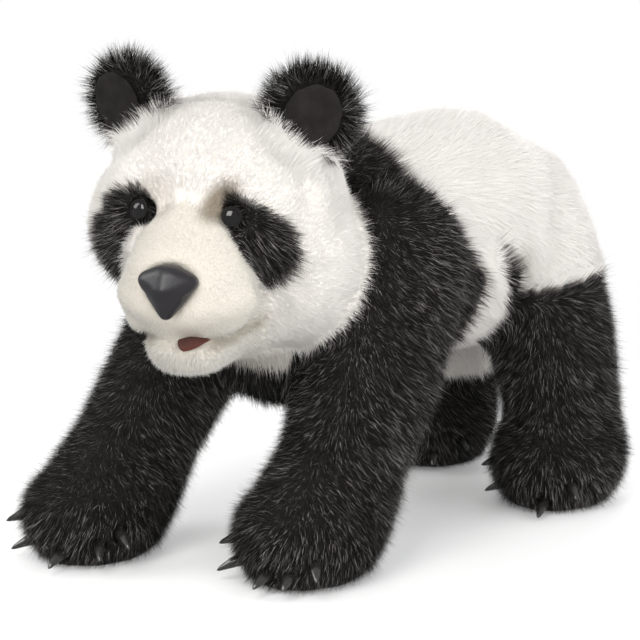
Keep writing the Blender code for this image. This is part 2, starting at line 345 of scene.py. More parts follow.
class Graph:
    """The node tree of a material or of the world."""

    def __init__(self, owner: bpy.types.Material | bpy.types.World) -> None:
        """Starts from the owner's own shader."""
        owner.use_nodes = True
        self.owner = owner
        self.tree = owner.node_tree
        self.shader = self.first("BSDF_PRINCIPLED", "BACKGROUND")

    def first(self, *kinds: str) -> bpy.types.Node:
        """Returns the first node of these kinds."""
        return next(node for node in self.tree.nodes if node.type in kinds)

    def node(
        self, kind: str, settings: Values = None, inputs: Values = None, output: str | int = 0
    ) -> Wire:
        """Adds a node.

        Args:
            kind: The node's type.
            settings: Its properties, which are set first.
            inputs: Values or wires by socket name or number.
            output: The socket that is returned.

        Returns:
            The output, ready to calculate with.
        """
        made = self.tree.nodes.new(kind)
        for key, value in (settings or {}).items():
            setattr(made, key, value)
        for key, value in (inputs or {}).items():
            self.feed(made.inputs[key], value)
        return Wire(self, made.outputs[output])

    def feed(self, socket: bpy.types.NodeSocket, value: Any) -> None:
        """Links a wire to a socket, or sets the socket's own value."""
        if isinstance(value, Wire):
            self.tree.links.new(value.socket, socket)
        else:
            socket.default_value = (*value, 1.0) if socket.type == "RGBA" else value

    def set(self, **values: Any) -> None:
        """Feeds the shader's sockets, named with _ for a space."""
        for key, value in values.items():
            self.feed(self.shader.inputs[key.replace("_", " ")], value)

    def mix(self, factor: Wire, first: Wire | Colour, second: Wire | Colour) -> Wire:
        """Returns the first colour with a share of the second."""
        settings = {"data_type": "RGBA", "blend_type": "MIX"}
        return self.node("ShaderNodeMix", settings, {0: factor, 6: first, 7: second}, 2)

    def attribute(self, name: str) -> Wire:
        """Returns a number stored on the mesh."""
        return self.node("ShaderNodeAttribute", {"attribute_name": name}, output="Fac")

    def place(self) -> Wire:
        """Returns the object coordinates, in metres."""
        return self.node("ShaderNodeTexCoord", output="Object")

    def noise(self, size: float, detail: float = 2.0, seed: float = 0.0) -> Wire:
        """Returns a noise from 0 to 1 whose blotches have a size in metres."""
        inputs = {"Vector": self.place(), "W": seed, "Scale": 1.0 / size, "Detail": detail}
        return self.node("ShaderNodeTexNoise", {"noise_dimensions": "4D"}, inputs)

    def bump(self, height: Wire, strength: float, distance: float) -> None:
        """Tilts the shader's normal by a height, whose 1 stands for a distance in metres."""
        inputs = {"Strength": strength, "Distance": distance, "Height": height}
        self.set(Normal=self.node("ShaderNodeBump", inputs=inputs))


@dataclass(frozen=True)
class PileFinish:
    """Acrylic pile: each tuft has its own random tone. Painted shade darkens the tufts' roots and the
    folds, and on black pile the rare pale tufts are painted glints, that is painted highlights.
    """

    deep: Colour
    # The pale colour is the light random tone, and on black pile it paints glints. The root and fold
    # colours are painted shade.
    pale: Colour
    root: Colour
    crease: Colour
    gloss: float = 0.55
    sheen: float = 0.1
    specular: float = 0.15
    contrast: float = 1.0
    blotches: float = 0.3
    glow: float = 0.35

    def wire(self, graph: Graph) -> None:
        """Sets the finish up in a material's graph."""
        tone = graph.attribute("tone")
        blotch = graph.noise(size=0.018, detail=3.0, seed=1.7)
        # On black pile a high contrast leaves only a few pale tufts: painted glints, that is painted
        # highlights, denser in random blotches.
        level = tone**self.contrast * (1.0 + (blotch - 0.5) * (2.0 * self.blotches))
        colour = graph.mix(level.clamped(), self.deep, self.pale)
        # Painted shade: each tuft grows darker towards its root, as if shaded deep in the pile.
        colour = graph.mix((1.0 - graph.attribute("along")) ** 2.0 * 0.75, colour, self.root)
        # The base colour then takes painted shade where the folds' mark is set.
        graph.set(
            Base_Color=graph.mix(graph.attribute("crease"), colour, self.crease),
            Roughness=self.gloss + 0.16 * (1.0 - tone),
            Specular_IOR_Level=self.specular,
            Sheen_Weight=self.sheen,
            Sheen_Roughness=0.45,
            Subsurface_Weight=self.glow,
            Subsurface_Radius=(1.0, 0.92, 0.8),
            Subsurface_Scale=0.0025,
        )


@dataclass(frozen=True)
class SkinFinish:
    """The knitted backing and the roots of the pile, in the colour of the pile above it, with painted
    shade in the folds and on the throat.
    """

    white: Colour
    black: Colour
    muzzle: Colour
    crease: Colour

    def wire(self, graph: Graph) -> None:
        """Sets the finish up in a material's graph."""
        blotch = graph.noise(size=0.006, detail=3.0)
        streak = graph.noise(size=0.0012, seed=3.1)
        white = graph.mix(blotch, self.white, tuple(0.82 * c for c in self.white))
        # Painted shade: the white backing darkens where the folds' mark is set.
        for mark in ("muzzle", "crease"):
            white = graph.mix(graph.attribute(mark), white, getattr(self, mark))
        black = graph.mix(blotch, self.black, tuple(2.2 * c for c in self.black))
        colour = graph.mix(graph.attribute("black"), white, black)
        graph.set(Base_Color=colour, Roughness=0.8 + 0.15 * streak)
        graph.bump(0.6 * streak + 0.4 * blotch, strength=0.7, distance=0.0012)


@dataclass(frozen=True)
class NapFinish:
    """Short velvety cloth: a fine even nap with faint rubbed patches."""

    base: Colour
    rubbed: Colour
    grain: float
    sheen: float

    def wire(self, graph: Graph) -> None:
        """Sets the finish up in a material's graph."""
        grain = graph.noise(self.grain, detail=3.0)
        patch = graph.noise(self.grain * 14.0, seed=5.3)
        level = (0.55 * grain + 0.75 * patch - 0.15).clamped()
        graph.set(
            Base_Color=graph.mix(level, self.base, self.rubbed),
            Specular_IOR_Level=0.0,
            Roughness=0.78 + 0.18 * grain,
            Sheen_Weight=self.sheen,
            Sheen_Roughness=0.5,
        )
        graph.bump(grain, strength=0.8, distance=0.0006)


@dataclass(frozen=True)
class MouldedFinish:
    """Moulded plastic: a fine mould texture, dulled in blotches by handling."""

    base: Colour
    worn: Colour
    roughness: float
    grain: float
    relief: float
    specular: float = 0.5

    def wire(self, graph: Graph) -> None:
        """Sets the finish up in a material's graph."""
        grain = graph.noise(self.grain, detail=4.0)
        wear = graph.noise(self.grain * 9.0, detail=3.0, seed=2.4)
        graph.set(
            Base_Color=graph.mix(wear, self.base, self.worn),
            Roughness=self.roughness * (0.8 + 0.5 * wear),
            Specular_IOR_Level=self.specular,
        )
        graph.bump(grain, self.relief, distance=0.0003)


class Finish(Enum):
    """Every finish on the toy."""

    # The fold colours below are painted shade in folds and on the throat. The pile's root colours are
    # painted shade deep in the pile, and the black pile's pale colour paints glints as painted
    # highlights.
    BACKING_KNIT = SkinFinish(
        white=(0.84, 0.79, 0.73),
        black=(0.004, 0.0033, 0.003),
        muzzle=(0.57, 0.53, 0.462),
        crease=(0.25, 0.21, 0.16),
    )
    WHITE_ACRYLIC = PileFinish(
        deep=(0.90, 0.86, 0.812),
        pale=(0.93, 0.895, 0.85),
        root=(0.86, 0.815, 0.76),
        crease=(0.30, 0.25, 0.19),
    )
    CREAM_ACRYLIC = PileFinish(
        deep=(0.63, 0.602, 0.545),
        pale=(0.785, 0.758, 0.695),
        root=(0.63, 0.595, 0.53),
        crease=(0.34, 0.29, 0.22),
        gloss=0.6,
    )
    BLACK_ACRYLIC = PileFinish(
        deep=(0.0038, 0.003, 0.0024),
        # Painted glints: the rare pale tufts stand for highlights on the black pile.
        pale=(0.72, 0.688, 0.66),
        root=(0.0025, 0.002, 0.0018),
        crease=(0.004, 0.004, 0.004),
        gloss=0.32,
        sheen=0.0,
        specular=0.07,
        contrast=10.5,
        blotches=0.8,
        glow=0.0,
    )
    EAR_VELOUR = NapFinish((0.004, 0.0036, 0.0034), (0.031, 0.0284, 0.027), 0.0006, 0.03)
    MOUTH_VELOUR = NapFinish((0.062, 0.020, 0.015), (0.105, 0.036, 0.027), 0.0007, 0.1)
    LID_VELOUR = NapFinish((0.010, 0.009, 0.009), (0.022, 0.020, 0.020), 0.0005, 0.05)
    NOSE_MOULDING = MouldedFinish(
        (0.010, 0.009, 0.011), (0.022, 0.020, 0.023), roughness=0.34, grain=0.0009, relief=0.35
    )
    EYE_MOULDING = MouldedFinish((0.002,) * 3, (0.004,) * 3, 0.05, 0.0015, 0.01, specular=0.62)
    CLAW_MOULDING = MouldedFinish(
        (0.010, 0.0095, 0.009), (0.028, 0.026, 0.025), 0.17, 0.0012, 0.08, specular=1.0
    )

    def material(self) -> bpy.types.Material:
        """Returns the finish's material, made once."""
        made = bpy.data.materials.get(self.name.lower())
        if made is None:
            made = bpy.data.materials.new(self.name.lower())
            self.value.wire(Graph(made))
        return made


def dressed(item: Item, finish: Finish, slot: str, *nodes: str) -> Item:
    """Gives a piece its finish and hides the frame's nodes that it replaces.

    Args:
        item: The piece.
        finish: Its finish.
        slot: Not used.
        nodes: The frame's nodes that it replaces.

    Returns:
        The piece.
    """
    item.data.materials.clear()
    item.data.materials.append(finish.material())
    item.data.shade_smooth()
    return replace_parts(item, *nodes) if nodes else item


# ---------------------------------------- where things are


def node_corners(node: str) -> tuple[Array, Array]:
    """Returns a frame node's lowest and highest corner."""
    low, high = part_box(node)
    return np.array(low) / MM, np.array(high) / MM


def node_middle(node: str) -> Array:
    """Returns the middle of a frame node's box."""
    low, high = node_corners(node)
    return (low + high) / 2.0


@dataclass
class HeadFrame:
    """The head's own axes: sideways, forward and up, from the middle of the skull."""

    yaw: float = 27.0
    pitch: float = 6.0
    roll: float = 2.0
    eyes_at: Triple = (0.0, 55.6, 20.5)
    turn: Array = field(init=False)
    centre: Array = field(init=False)

    def __post_init__(self) -> None:
        """Works the centre out from the two eyes and the head's turn."""
        turns = zip((self.yaw, self.pitch, self.roll), "ZXY")
        z, x, y = (Matrix.Rotation(math.radians(angle), 3, axis) for angle, axis in turns)
        self.turn = np.array(z @ x @ y) @ np.diag([1.0, -1.0, 1.0])
        between = np.mean([node_middle(f"eye_{side}") for side in SIDES], axis=0)
        self.centre = between - self.turn @ np.array(self.eyes_at)

    def inward(self, points: Array) -> Array:
        """Returns the points in the head's own axes."""
        return (points - self.centre) @ self.turn

    def outward(self, vectors: Array) -> Array:
        """Returns vectors in the head's axes as vectors in the toy's."""
        return vectors @ self.turn.T


class Spots:
    """Places on the skin, with the soft node of each and its bearings from the skull's middle."""

    def __init__(self, points: Array, owner: Array, head: HeadFrame) -> None:
        """Works the bearings out: degrees round from straight ahead, and above level."""
        self.points = points
        self.owner = owner
        self.local = head.inward(points)
        side, ahead, high = self.local.T
        self.azimuth = np.degrees(np.arctan2(side, ahead))
        self.height = np.degrees(np.arctan2(high, np.hypot(side, ahead)))
        self.on_head = owner <= Flesh.LOWER_JAW
        self.on_leg = owner >= Flesh.LEG_FRONT_LEFT


@dataclass(frozen=True)
class Outline:
    """A line through a few points, read at any place along it."""

    places: Row
    values: Row

    def __call__(self, at: Array) -> Array:
        """Returns the line's value at each place."""
        return np.interp(at, self.places, self.values)


@dataclass(frozen=True)
class EyePatch:
    """The outline of a black patch round an eye, in bearings."""

    azimuths: Row
    heights: Row

    def holds(self, azimuth: Array, height: Array) -> Array:
        """Tells which bearings are in the patch.

        Args:
            azimuth: Degrees round from straight ahead.
            height: Degrees above level.

        Returns:
            True in the patch.
        """
        inside = np.zeros(len(azimuth), bool)
        corners = list(zip(self.azimuths, self.heights))
        for (x0, y0), (x1, y1) in zip(corners, corners[1:] + corners[:1]):
            crossing = x0 + (height - y0) * (x1 - x0) / ((y1 - y0) or 1.0)
            inside ^= ((y0 > height) != (y1 > height)) & (azimuth < crossing)
        return inside


@dataclass(frozen=True)
class Growth:
    """How pile grows: its length, and how far its root and tip lift off the skin.

    The skin lies at the depth below the coat's outside. Under and over are the tufts per
    square millimetre of the undercoat and of the long overcoat, clump is how far neighbours
    draw together, and width is a tuft's width.
    """

    length: float
    root_lift: float
    tip_lift: float
    depth: float
    under: float
    over: float
    clump: float
    width: float


class Zone(Enum):
    """A stretch of the body where the pile grows one way."""

    MUZZLE = Growth(2.5, 44, 30, 1.2, 3.0, 0.0, 0.10, 0.34)
    JAW = Growth(5.2, 36, 24, 2.0, 2.4, 0.2, 0.25, 0.34)
    PATCH = Growth(7.0, 42, 30, 3.2, 2.0, 1.3, 0.45, 0.20)
    FACE = Growth(6.0, 20, 10, 2.4, 2.5, 0.10, 0.08, 0.36)
    CHEEK = Growth(8.0, 24, 12, 3.8, 2.2, 0.20, 0.15, 0.36)
    CROWN = Growth(8.0, 24, 12, 3.8, 1.9, 0.20, 0.10, 0.38)
    EAR = Growth(9.5, 54, 42, 4.6, 1.4, 1.5, 0.70, 0.26)
    THROAT = Growth(9.0, 34, 24, 4.4, 1.6, 0.30, 0.35, 0.38)
    SHOULDER = Growth(7.4, 44, 32, 4.8, 1.2, 1.1, 0.35, 0.20)
    LEG = Growth(6.4, 50, 42, 4.8, 1.2, 1.1, 0.30, 0.19)
    PAW = Growth(6.4, 52, 44, 3.0, 1.3, 1.3, 0.30, 0.19)
    SOLE = Growth(3.0, 30, 20, 0.9, 0.7, 0.0, 0.30, 0.40)
    BACK = Growth(10.0, 29, 20, 4.2, 1.7, 0.50, 0.28, 0.38)
    BELLY = Growth(8.5, 28, 16, 4.2, 1.2, 0.30, 0.30, 0.40)
    TAIL = Growth(9.5, 30, 16, 4.5, 1.4, 0.60, 0.35, 0.40)

    @property
    def number(self) -> int:
        """The zone's place in the list."""
        return list(Zone).index(self)

    @classmethod
    def values(cls, name: str) -> Array:
        """Returns one of the growth's numbers for every zone."""
        return np.array([getattr(zone.value, name) for zone in cls], float)


@dataclass
class Markings:
    """Where the black and the white pile lie, and where painted shade darkens the white pile in its
    folds and on the throat.
    """

    head: HeadFrame
    shoulder_back: Outline = Outline(
        (94, 111, 122, 136, 152, 166, 181, 190, 204, 215), (46, 38, 38, 37, 22, 9, -9, -8, -7, -6)
    )
    thigh_front: Outline = Outline((97, 118, 135, 146, 157), (64, 59, 51, 44, 39))
    thigh_top: Outline = Outline(
        (37, 45, 54, 63, 66, 78, 92, 112, 150), (157, 149, 143, 136, 124, 124, 127, 128, 131)
    )
    lip: Outline = Outline((8, 13, 16, 22, 29.5, 36, 42), (-28, -29, -30, -33, -35, -34, -31))
    lip_starts: Pair = (8.0, 13.0)
    lip_ends: Pair = (44.0, 36.0)
    lip_width: Pair = (3.2, 0.6)
    nape: Outline = Outline((-40, -15, -5, 6, 16, 26, 45), (-12, -14, -16, -24, -31, -46, -48))
    muzzle: Outline = Outline(
        (-50, -40, -25, -13, -5, 4, 12, 20, 26), (44, 42, 38.8, 33, 30.6, 26, 22, 14, 0)
    )
    patches: tuple[EyePatch, EyePatch] = (
        EyePatch(
            (18, 22, 30, 40, 50, 55.5, 53.5, 46, 37, 31.5, 26.5, 21, 16.5),
            (28, 29.5, 25, 19.5, 12, 1, -7, -14.5, -15, -7, 1, 10.5, 20),
        ),
        EyePatch(
            (-20, -25, -33, -44, -63, -66, -65, -61, -48, -37, -27, -17, -17.5),
            (26.5, 29, 26.5, 19.5, 9, -2, -15, -25, -11.5, 2, 11.5, 16, 22),
        ),
    )
    right_thigh_shift: float = 9.0
    crotch: float = 22.0
    inner_thigh: Pair = (-30.0, 57.0)
    ragged: Triple = (0.9, 7.0, 8)
    patch_front: float = 5.0
    knee: float = 97.0
    collar: Pair = (20.0, -38.0)
    throat: Triple = (-30.0, 2.0, -67.0)
    # From here to groin_shade: where painted shade darkens the white pile, at the brows, beside the
    # muzzle, under the upper lip, on the throat and in front of the thighs.
    brow: Pair = (15.5, 25.5)
    brow_reach: Pair = (9.5, 4.0)
    brow_slant: Pair = (0.77, 0.64)
    brow_length: float = 1.5
    far_brow: float = 0.3
    fold_shade: float = 0.3
    fold_reach: Pair = (6.0, 1.0)
    fold_top: Pair = (-2.0, -12.0)
    lip_shade: float = 0.75
    throat_shade: float = 0.5
    groin: Pair = (61.0, 138.0)
    groin_size: Pair = (16.0, 24.0)
    groin_fade: Pair = (1.0, 0.2)
    groin_side: float = 40.0
    groin_shade: float = 0.45

    def in_patch(self, at: Spots) -> Array:
        """Tells which spots are in either eye patch."""
        left, right = (patch.holds(at.azimuth, at.height) for patch in self.patches)
        return (left | right) & (at.local[:, 1] > self.patch_front)

    def in_muzzle(self, at: Spots) -> Array:
        """Tells which spots have the bearings of the short-napped muzzle."""
        return (np.abs(at.azimuth) < self.muzzle(at.height)) & (at.height < self.muzzle.places[-1])

    def behind(self, points: Array) -> Array:
        """Returns how far back points are, with the right thigh's moved onto the left one's."""
        return points[:, 1] - np.where(points[:, 0] < 0, self.right_thigh_shift, 0.0)

    def under_thigh_top(self, points: Array) -> Array:
        """Returns how far points are below the top edge of a hind leg's black."""
        return self.thigh_top(self.behind(points)) - points[:, 2]

    def black_thigh(self, points: Array) -> Array:
        """Tells which points are on the black of a hind leg."""
        inside = (self.under_thigh_top(points) > 0) & (np.abs(points[:, 0]) > self.crotch)
        return inside & (self.behind(points) > self.thigh_front(points[:, 2]))

    def lip_fold(self, at: Spots) -> Array:
        """Returns how near spots are to the fold under the upper lip, from 0 to 1."""
        across = np.abs(at.azimuth)
        ends = step(across, *self.lip_starts) * step(across, *self.lip_ends)
        return step(np.abs(at.height - self.lip(across)), *self.lip_width) * ends

    def on_throat(self, at: Spots) -> Array:
        """Tells which spots are on the white throat: past three planes of the head's axes."""
        return np.all(at.local > self.throat, axis=1) & (at.owner == Flesh.NECK)

    def creases(self, at: Spots) -> Array:
        """Gives the painted shade that darkens the white pile: by the brows, beside the muzzle, under
        the upper lip, on the throat and in front of the thighs.

        Args:
            at: Spots on the skin.

        Returns:
            The painted shade, from 0 to 1.
        """
        # Painted shade in the brow folds, weaker on the far side.
        aside, up = np.abs(at.azimuth) - self.brow[0], at.height - self.brow[1]
        cosine, sine = self.brow_slant
        away = np.hypot((aside * cosine + up * sine) / self.brow_length, up * cosine - aside * sine)
        brow = step(away, *self.brow_reach) * np.where(at.azimuth > 0, 1.0, self.far_brow)
        beyond = np.abs(at.azimuth) - self.muzzle(at.height)
        fold = self.fold_shade * step(beyond, *self.fold_reach) * (beyond > 0)
        fold = fold * step(at.height, *self.fold_top)
        fold = np.maximum(fold, self.lip_shade * self.lip_fold(at))
        face = np.maximum(brow, fold) * at.on_head
        # Painted shade in the fold in front of each thigh.
        back, high = self.behind(at.points) - self.groin[0], at.points[:, 2] - self.groin[1]
        away = np.hypot(back / self.groin_size[0], high / self.groin_size[1])
        body = self.groin_shade * step(away, *self.groin_fade) * (at.owner > Flesh.NECK)
        body = body * (np.abs(at.points[:, 0]) > self.groin_side)
        # Painted shade over the whole throat, under the jaw.
        body = np.maximum(body, self.throat_shade * (at.owner == Flesh.NECK))
        return np.maximum(face, body)

    def black(self, at: Spots) -> Array:
        """Tells which spots carry black pile.

        Args:
            at: Spots on the skin.

        Returns:
            True where the pile is black.
        """
        side, above = self.inner_thigh
        inner = (at.points[:, 0] > side) & (at.points[:, 2] > above)
        inner &= at.owner == Flesh.LEG_HIND_RIGHT
        amount, wavelength, seed = self.ragged
        points = at.points + amount * swirl(at.points, wavelength, seed)
        nape = at.local[:, 1] < self.nape(at.local[:, 2])
        high, behind = self.collar
        ruff = (at.local[:, 2] > high) & (at.local[:, 1] > behind) & ~nape & ~at.on_leg
        front = points[:, 1] < self.shoulder_back(points[:, 2])
        body = front & ~self.on_throat(at) & ~ruff
        body |= at.on_leg & (points[:, 2] < self.knee)
        body |= self.black_thigh(points)
        body |= np.isin(at.owner, (Flesh.EAR_LEFT, Flesh.EAR_RIGHT))
        return np.where(at.on_head, self.in_patch(at) | nape, body) & ~inner


# ---------------------------------------- the skin


@dataclass(frozen=True)
class Dent:
    """A soft hollow in the skin, or a swelling if its depth is negative."""

    place: Triple
    reach: float
    depth: float
    stretch: Triple = (1.0, 1.0, 1.0)

    def at(self, points: Array) -> Array:
        """Returns how deep the dent is at points in its own axes."""
        away = np.linalg.norm((points - np.array(self.place)) / np.array(self.stretch), axis=1)
        return self.depth * step(away, self.reach, 0.0)


@dataclass(frozen=True)
class Lips:
    """How the skin closes over the mouth's slot, in the head's own axes."""

    front: float = -38.0
    front_ahead: float = 58.0
    tilt: float = 0.105
    thick: float = 4.0
    fade: float = 13.0
    closing: float = 4.6
    start: Pair = (30.0, 44.0)
    side: float = 45.0
    nearest: float = 0.97
    opening: Outline = Outline((-6.0, -1.0, 6.0, 12.0, 17.0), (0.0, 1.7, 2.6, 1.8, 0.0))

    def closed(self, local: Array) -> Array:
        """Moves points towards the mouth's plane, so that little of the slot is left open.

        Args:
            local: Points in the head's own axes.

        Returns:
            The moved points.
        """
        side, ahead, high = local.T
        above = high - (self.front - (ahead - self.front_ahead) * self.tilt)
        reach = step(np.abs(above), self.fade, self.thick) * step(ahead, *self.start)
        shift = np.maximum(self.closing - self.opening(side), 0.0) * reach
        shift = np.minimum(shift, np.abs(above) * self.nearest) * (np.abs(side) < self.side)
        return local - np.outer(np.sign(above) * shift, (0, 0, 1))


@dataclass
class Skin:
    """The sewn skin under the pile: every node of flesh as one even surface."""

    markings: Markings
    voxel: float = 1.9
    overlap: float = 0.6
    facet_rounds: int = 10
    inset_rounds: int = 6
    sole_height: float = 4.0
    paw_height: float = 42.0
    belly_height: float = 112.0
    facing_down: float = -0.6
    belly_facing: float = 0.1
    jaw_line: float = -27.0
    face_low: float = -4.0
    face_front: float = 18.0
    crown_front: float = -30.0
    last_rounds: int = 2
    lip_depth: float = 2.6
    dents: tuple[Dent, ...] = (
        Dent((14.5, 56.0, 28.0), 12.0, 4.2, (0.8, 1.0, 1.1)),
        Dent((-12.5, 57.0, 30.0), 11.0, 2.8, (0.8, 1.0, 1.3)),
        Dent((-27.0, 60.0, -31.0), 13.0, -4.5),
        Dent((27.0, 60.0, -31.0), 12.0, -1.5),
    )
    rump: Dent = Dent((40.0, 148.0, 166.0), 38.0, 4.0)
    lips: Lips = Lips()
    surface: Surface = field(init=False)
    normals: Array = field(init=False)
    spots: Spots = field(init=False)
    zone: Array = field(init=False)

    def build(self, nodes: Nodes) -> Item:
        """Makes the skin.

        Args:
            nodes: The frame's nodes by name.

        Returns:
            The skin's object.
        """
        surface = Surface(remeshed(self._joined(nodes), self.voxel, "hull"))
        surface.smooth(self.facet_rounds)
        spots, normals = self._spots(nodes, surface.points), surface.normals()
        depth = surface.relaxed(Zone.values("depth")[self._zones(spots, normals)], 3)
        depth = depth + self._dents(spots)
        pull = unit(surface.relaxed(normals, self.inset_rounds))
        surface.points = surface.points - pull * depth[:, None]
        head, face = self.markings.head, spots.on_head
        closed = self.lips.closed(head.inward(surface.points[face]))
        surface.points[face] = head.centre + head.outward(closed)
        self.surface = Surface(remeshed(surface.write(), self.voxel, "skin"))
        self.surface.smooth(self.last_rounds)
        self.normals = self.surface.normals()
        self.spots = self._spots(nodes, self.surface.points)
        self.zone = self._zones(self.spots, self.normals)
        self._mark()
        return self.surface.write()

    def _joined(self, nodes: Nodes) -> Item:
        """Returns the flesh as one object, each node grown until it meets its neighbours."""
        whole = bmesh.new()
        for name in FLESH:
            part = add_shape(f"{name}_grown", welded_copy(nodes[name], self.overlap * MM))
            whole.from_mesh(part.data)
            bpy.data.objects.remove(part)
        return add_shape("flesh", whole)

    def _spots(self, nodes: Nodes, points: Array) -> Spots:
        """Finds the soft node nearest to each point.

        Args:
            nodes: The frame's nodes by name.
            points: The points.

        Returns:
            The points with their nodes.
        """
        corners: list[Vector] = []
        faces: list[list[int]] = []
        owner_of: list[int] = []
        for number, name in enumerate(FLESH):
            mesh = nodes[name].data
            faces += [[len(corners) + i for i in p.vertices] for p in mesh.polygons]
            corners += [v.co / MM for v in mesh.vertices]
            owner_of += [number] * len(mesh.polygons)
        tree = BVHTree.FromPolygons(corners, faces)
        owner = np.array([owner_of[tree.find_nearest(p)[2]] for p in points])
        return Spots(points, owner, self.markings.head)

    def _zones(self, at: Spots, normals: Array) -> Array:
        """Sorts spots into zones.

        Args:
            at: Spots on the skin.
            normals: The skin's normals there.

        Returns:
            The number of each one's zone.
        """
        marks = self.markings
        low, ahead, rise = at.points[:, 2], at.local[:, 1], normals[:, 2]
        front = at.points[:, 1] < marks.shoulder_back(low)
        jaw = at.owner == Flesh.LOWER_JAW
        muzzle = at.on_head & marks.in_muzzle(at) & (ahead > 0)
        rules = [
            (np.isin(at.owner, (Flesh.EAR_LEFT, Flesh.EAR_RIGHT)), Zone.EAR),
            (muzzle & (at.height > self.jaw_line) & ~jaw, Zone.MUZZLE),
            (muzzle | jaw, Zone.JAW),
            (at.on_head & marks.in_patch(at), Zone.PATCH),
            (at.on_head & (at.height > self.face_low) & (ahead > self.face_front), Zone.FACE),
            (at.on_head & (ahead > self.crown_front), Zone.CHEEK),
            (at.on_head, Zone.CROWN),
            (marks.on_throat(at), Zone.THROAT),
            (at.owner == Flesh.TAIL, Zone.TAIL),
            (at.on_leg & (low < self.sole_height) & (rise < self.facing_down), Zone.SOLE),
            (at.on_leg & (low < self.paw_height), Zone.PAW),
            (at.on_leg & (front | marks.black_thigh(at.points)), Zone.LEG),
            (front, Zone.SHOULDER),
            ((low < self.belly_height) & (rise < self.belly_facing), Zone.BELLY),
        ]
        tests, zones = zip(*rules)
        return np.select(tests, [zone.number for zone in zones], Zone.BACK.number)

    def _dents(self, at: Spots) -> Array:
        """Returns how much deeper the skin lies in its folds and hollows."""
        deeper = sum(dent.at(at.local) for dent in self.dents)
        deeper = deeper + self.lip_depth * self.markings.lip_fold(at)
        return deeper * at.on_head + self.rump.at(at.points)

    def _mark(self) -> None:
        """Stores the markings on the skin's mesh."""
        marks = {
            "muzzle": np.isin(self.zone, (Zone.MUZZLE.number, Zone.JAW.number)).astype(float),
            "black": self.markings.black(self.spots).astype(float),
            # Painted shade of the folds and the throat.
            "crease": self.markings.creases(self.spots),
        }
        for name, values in marks.items():
            made = self.surface.item.data.attributes.new(name, "FLOAT", "POINT")
            made.data.foreach_set("value", self.surface.relaxed(values, 1).astype(np.float32))


# ---------------------------------------- the coat


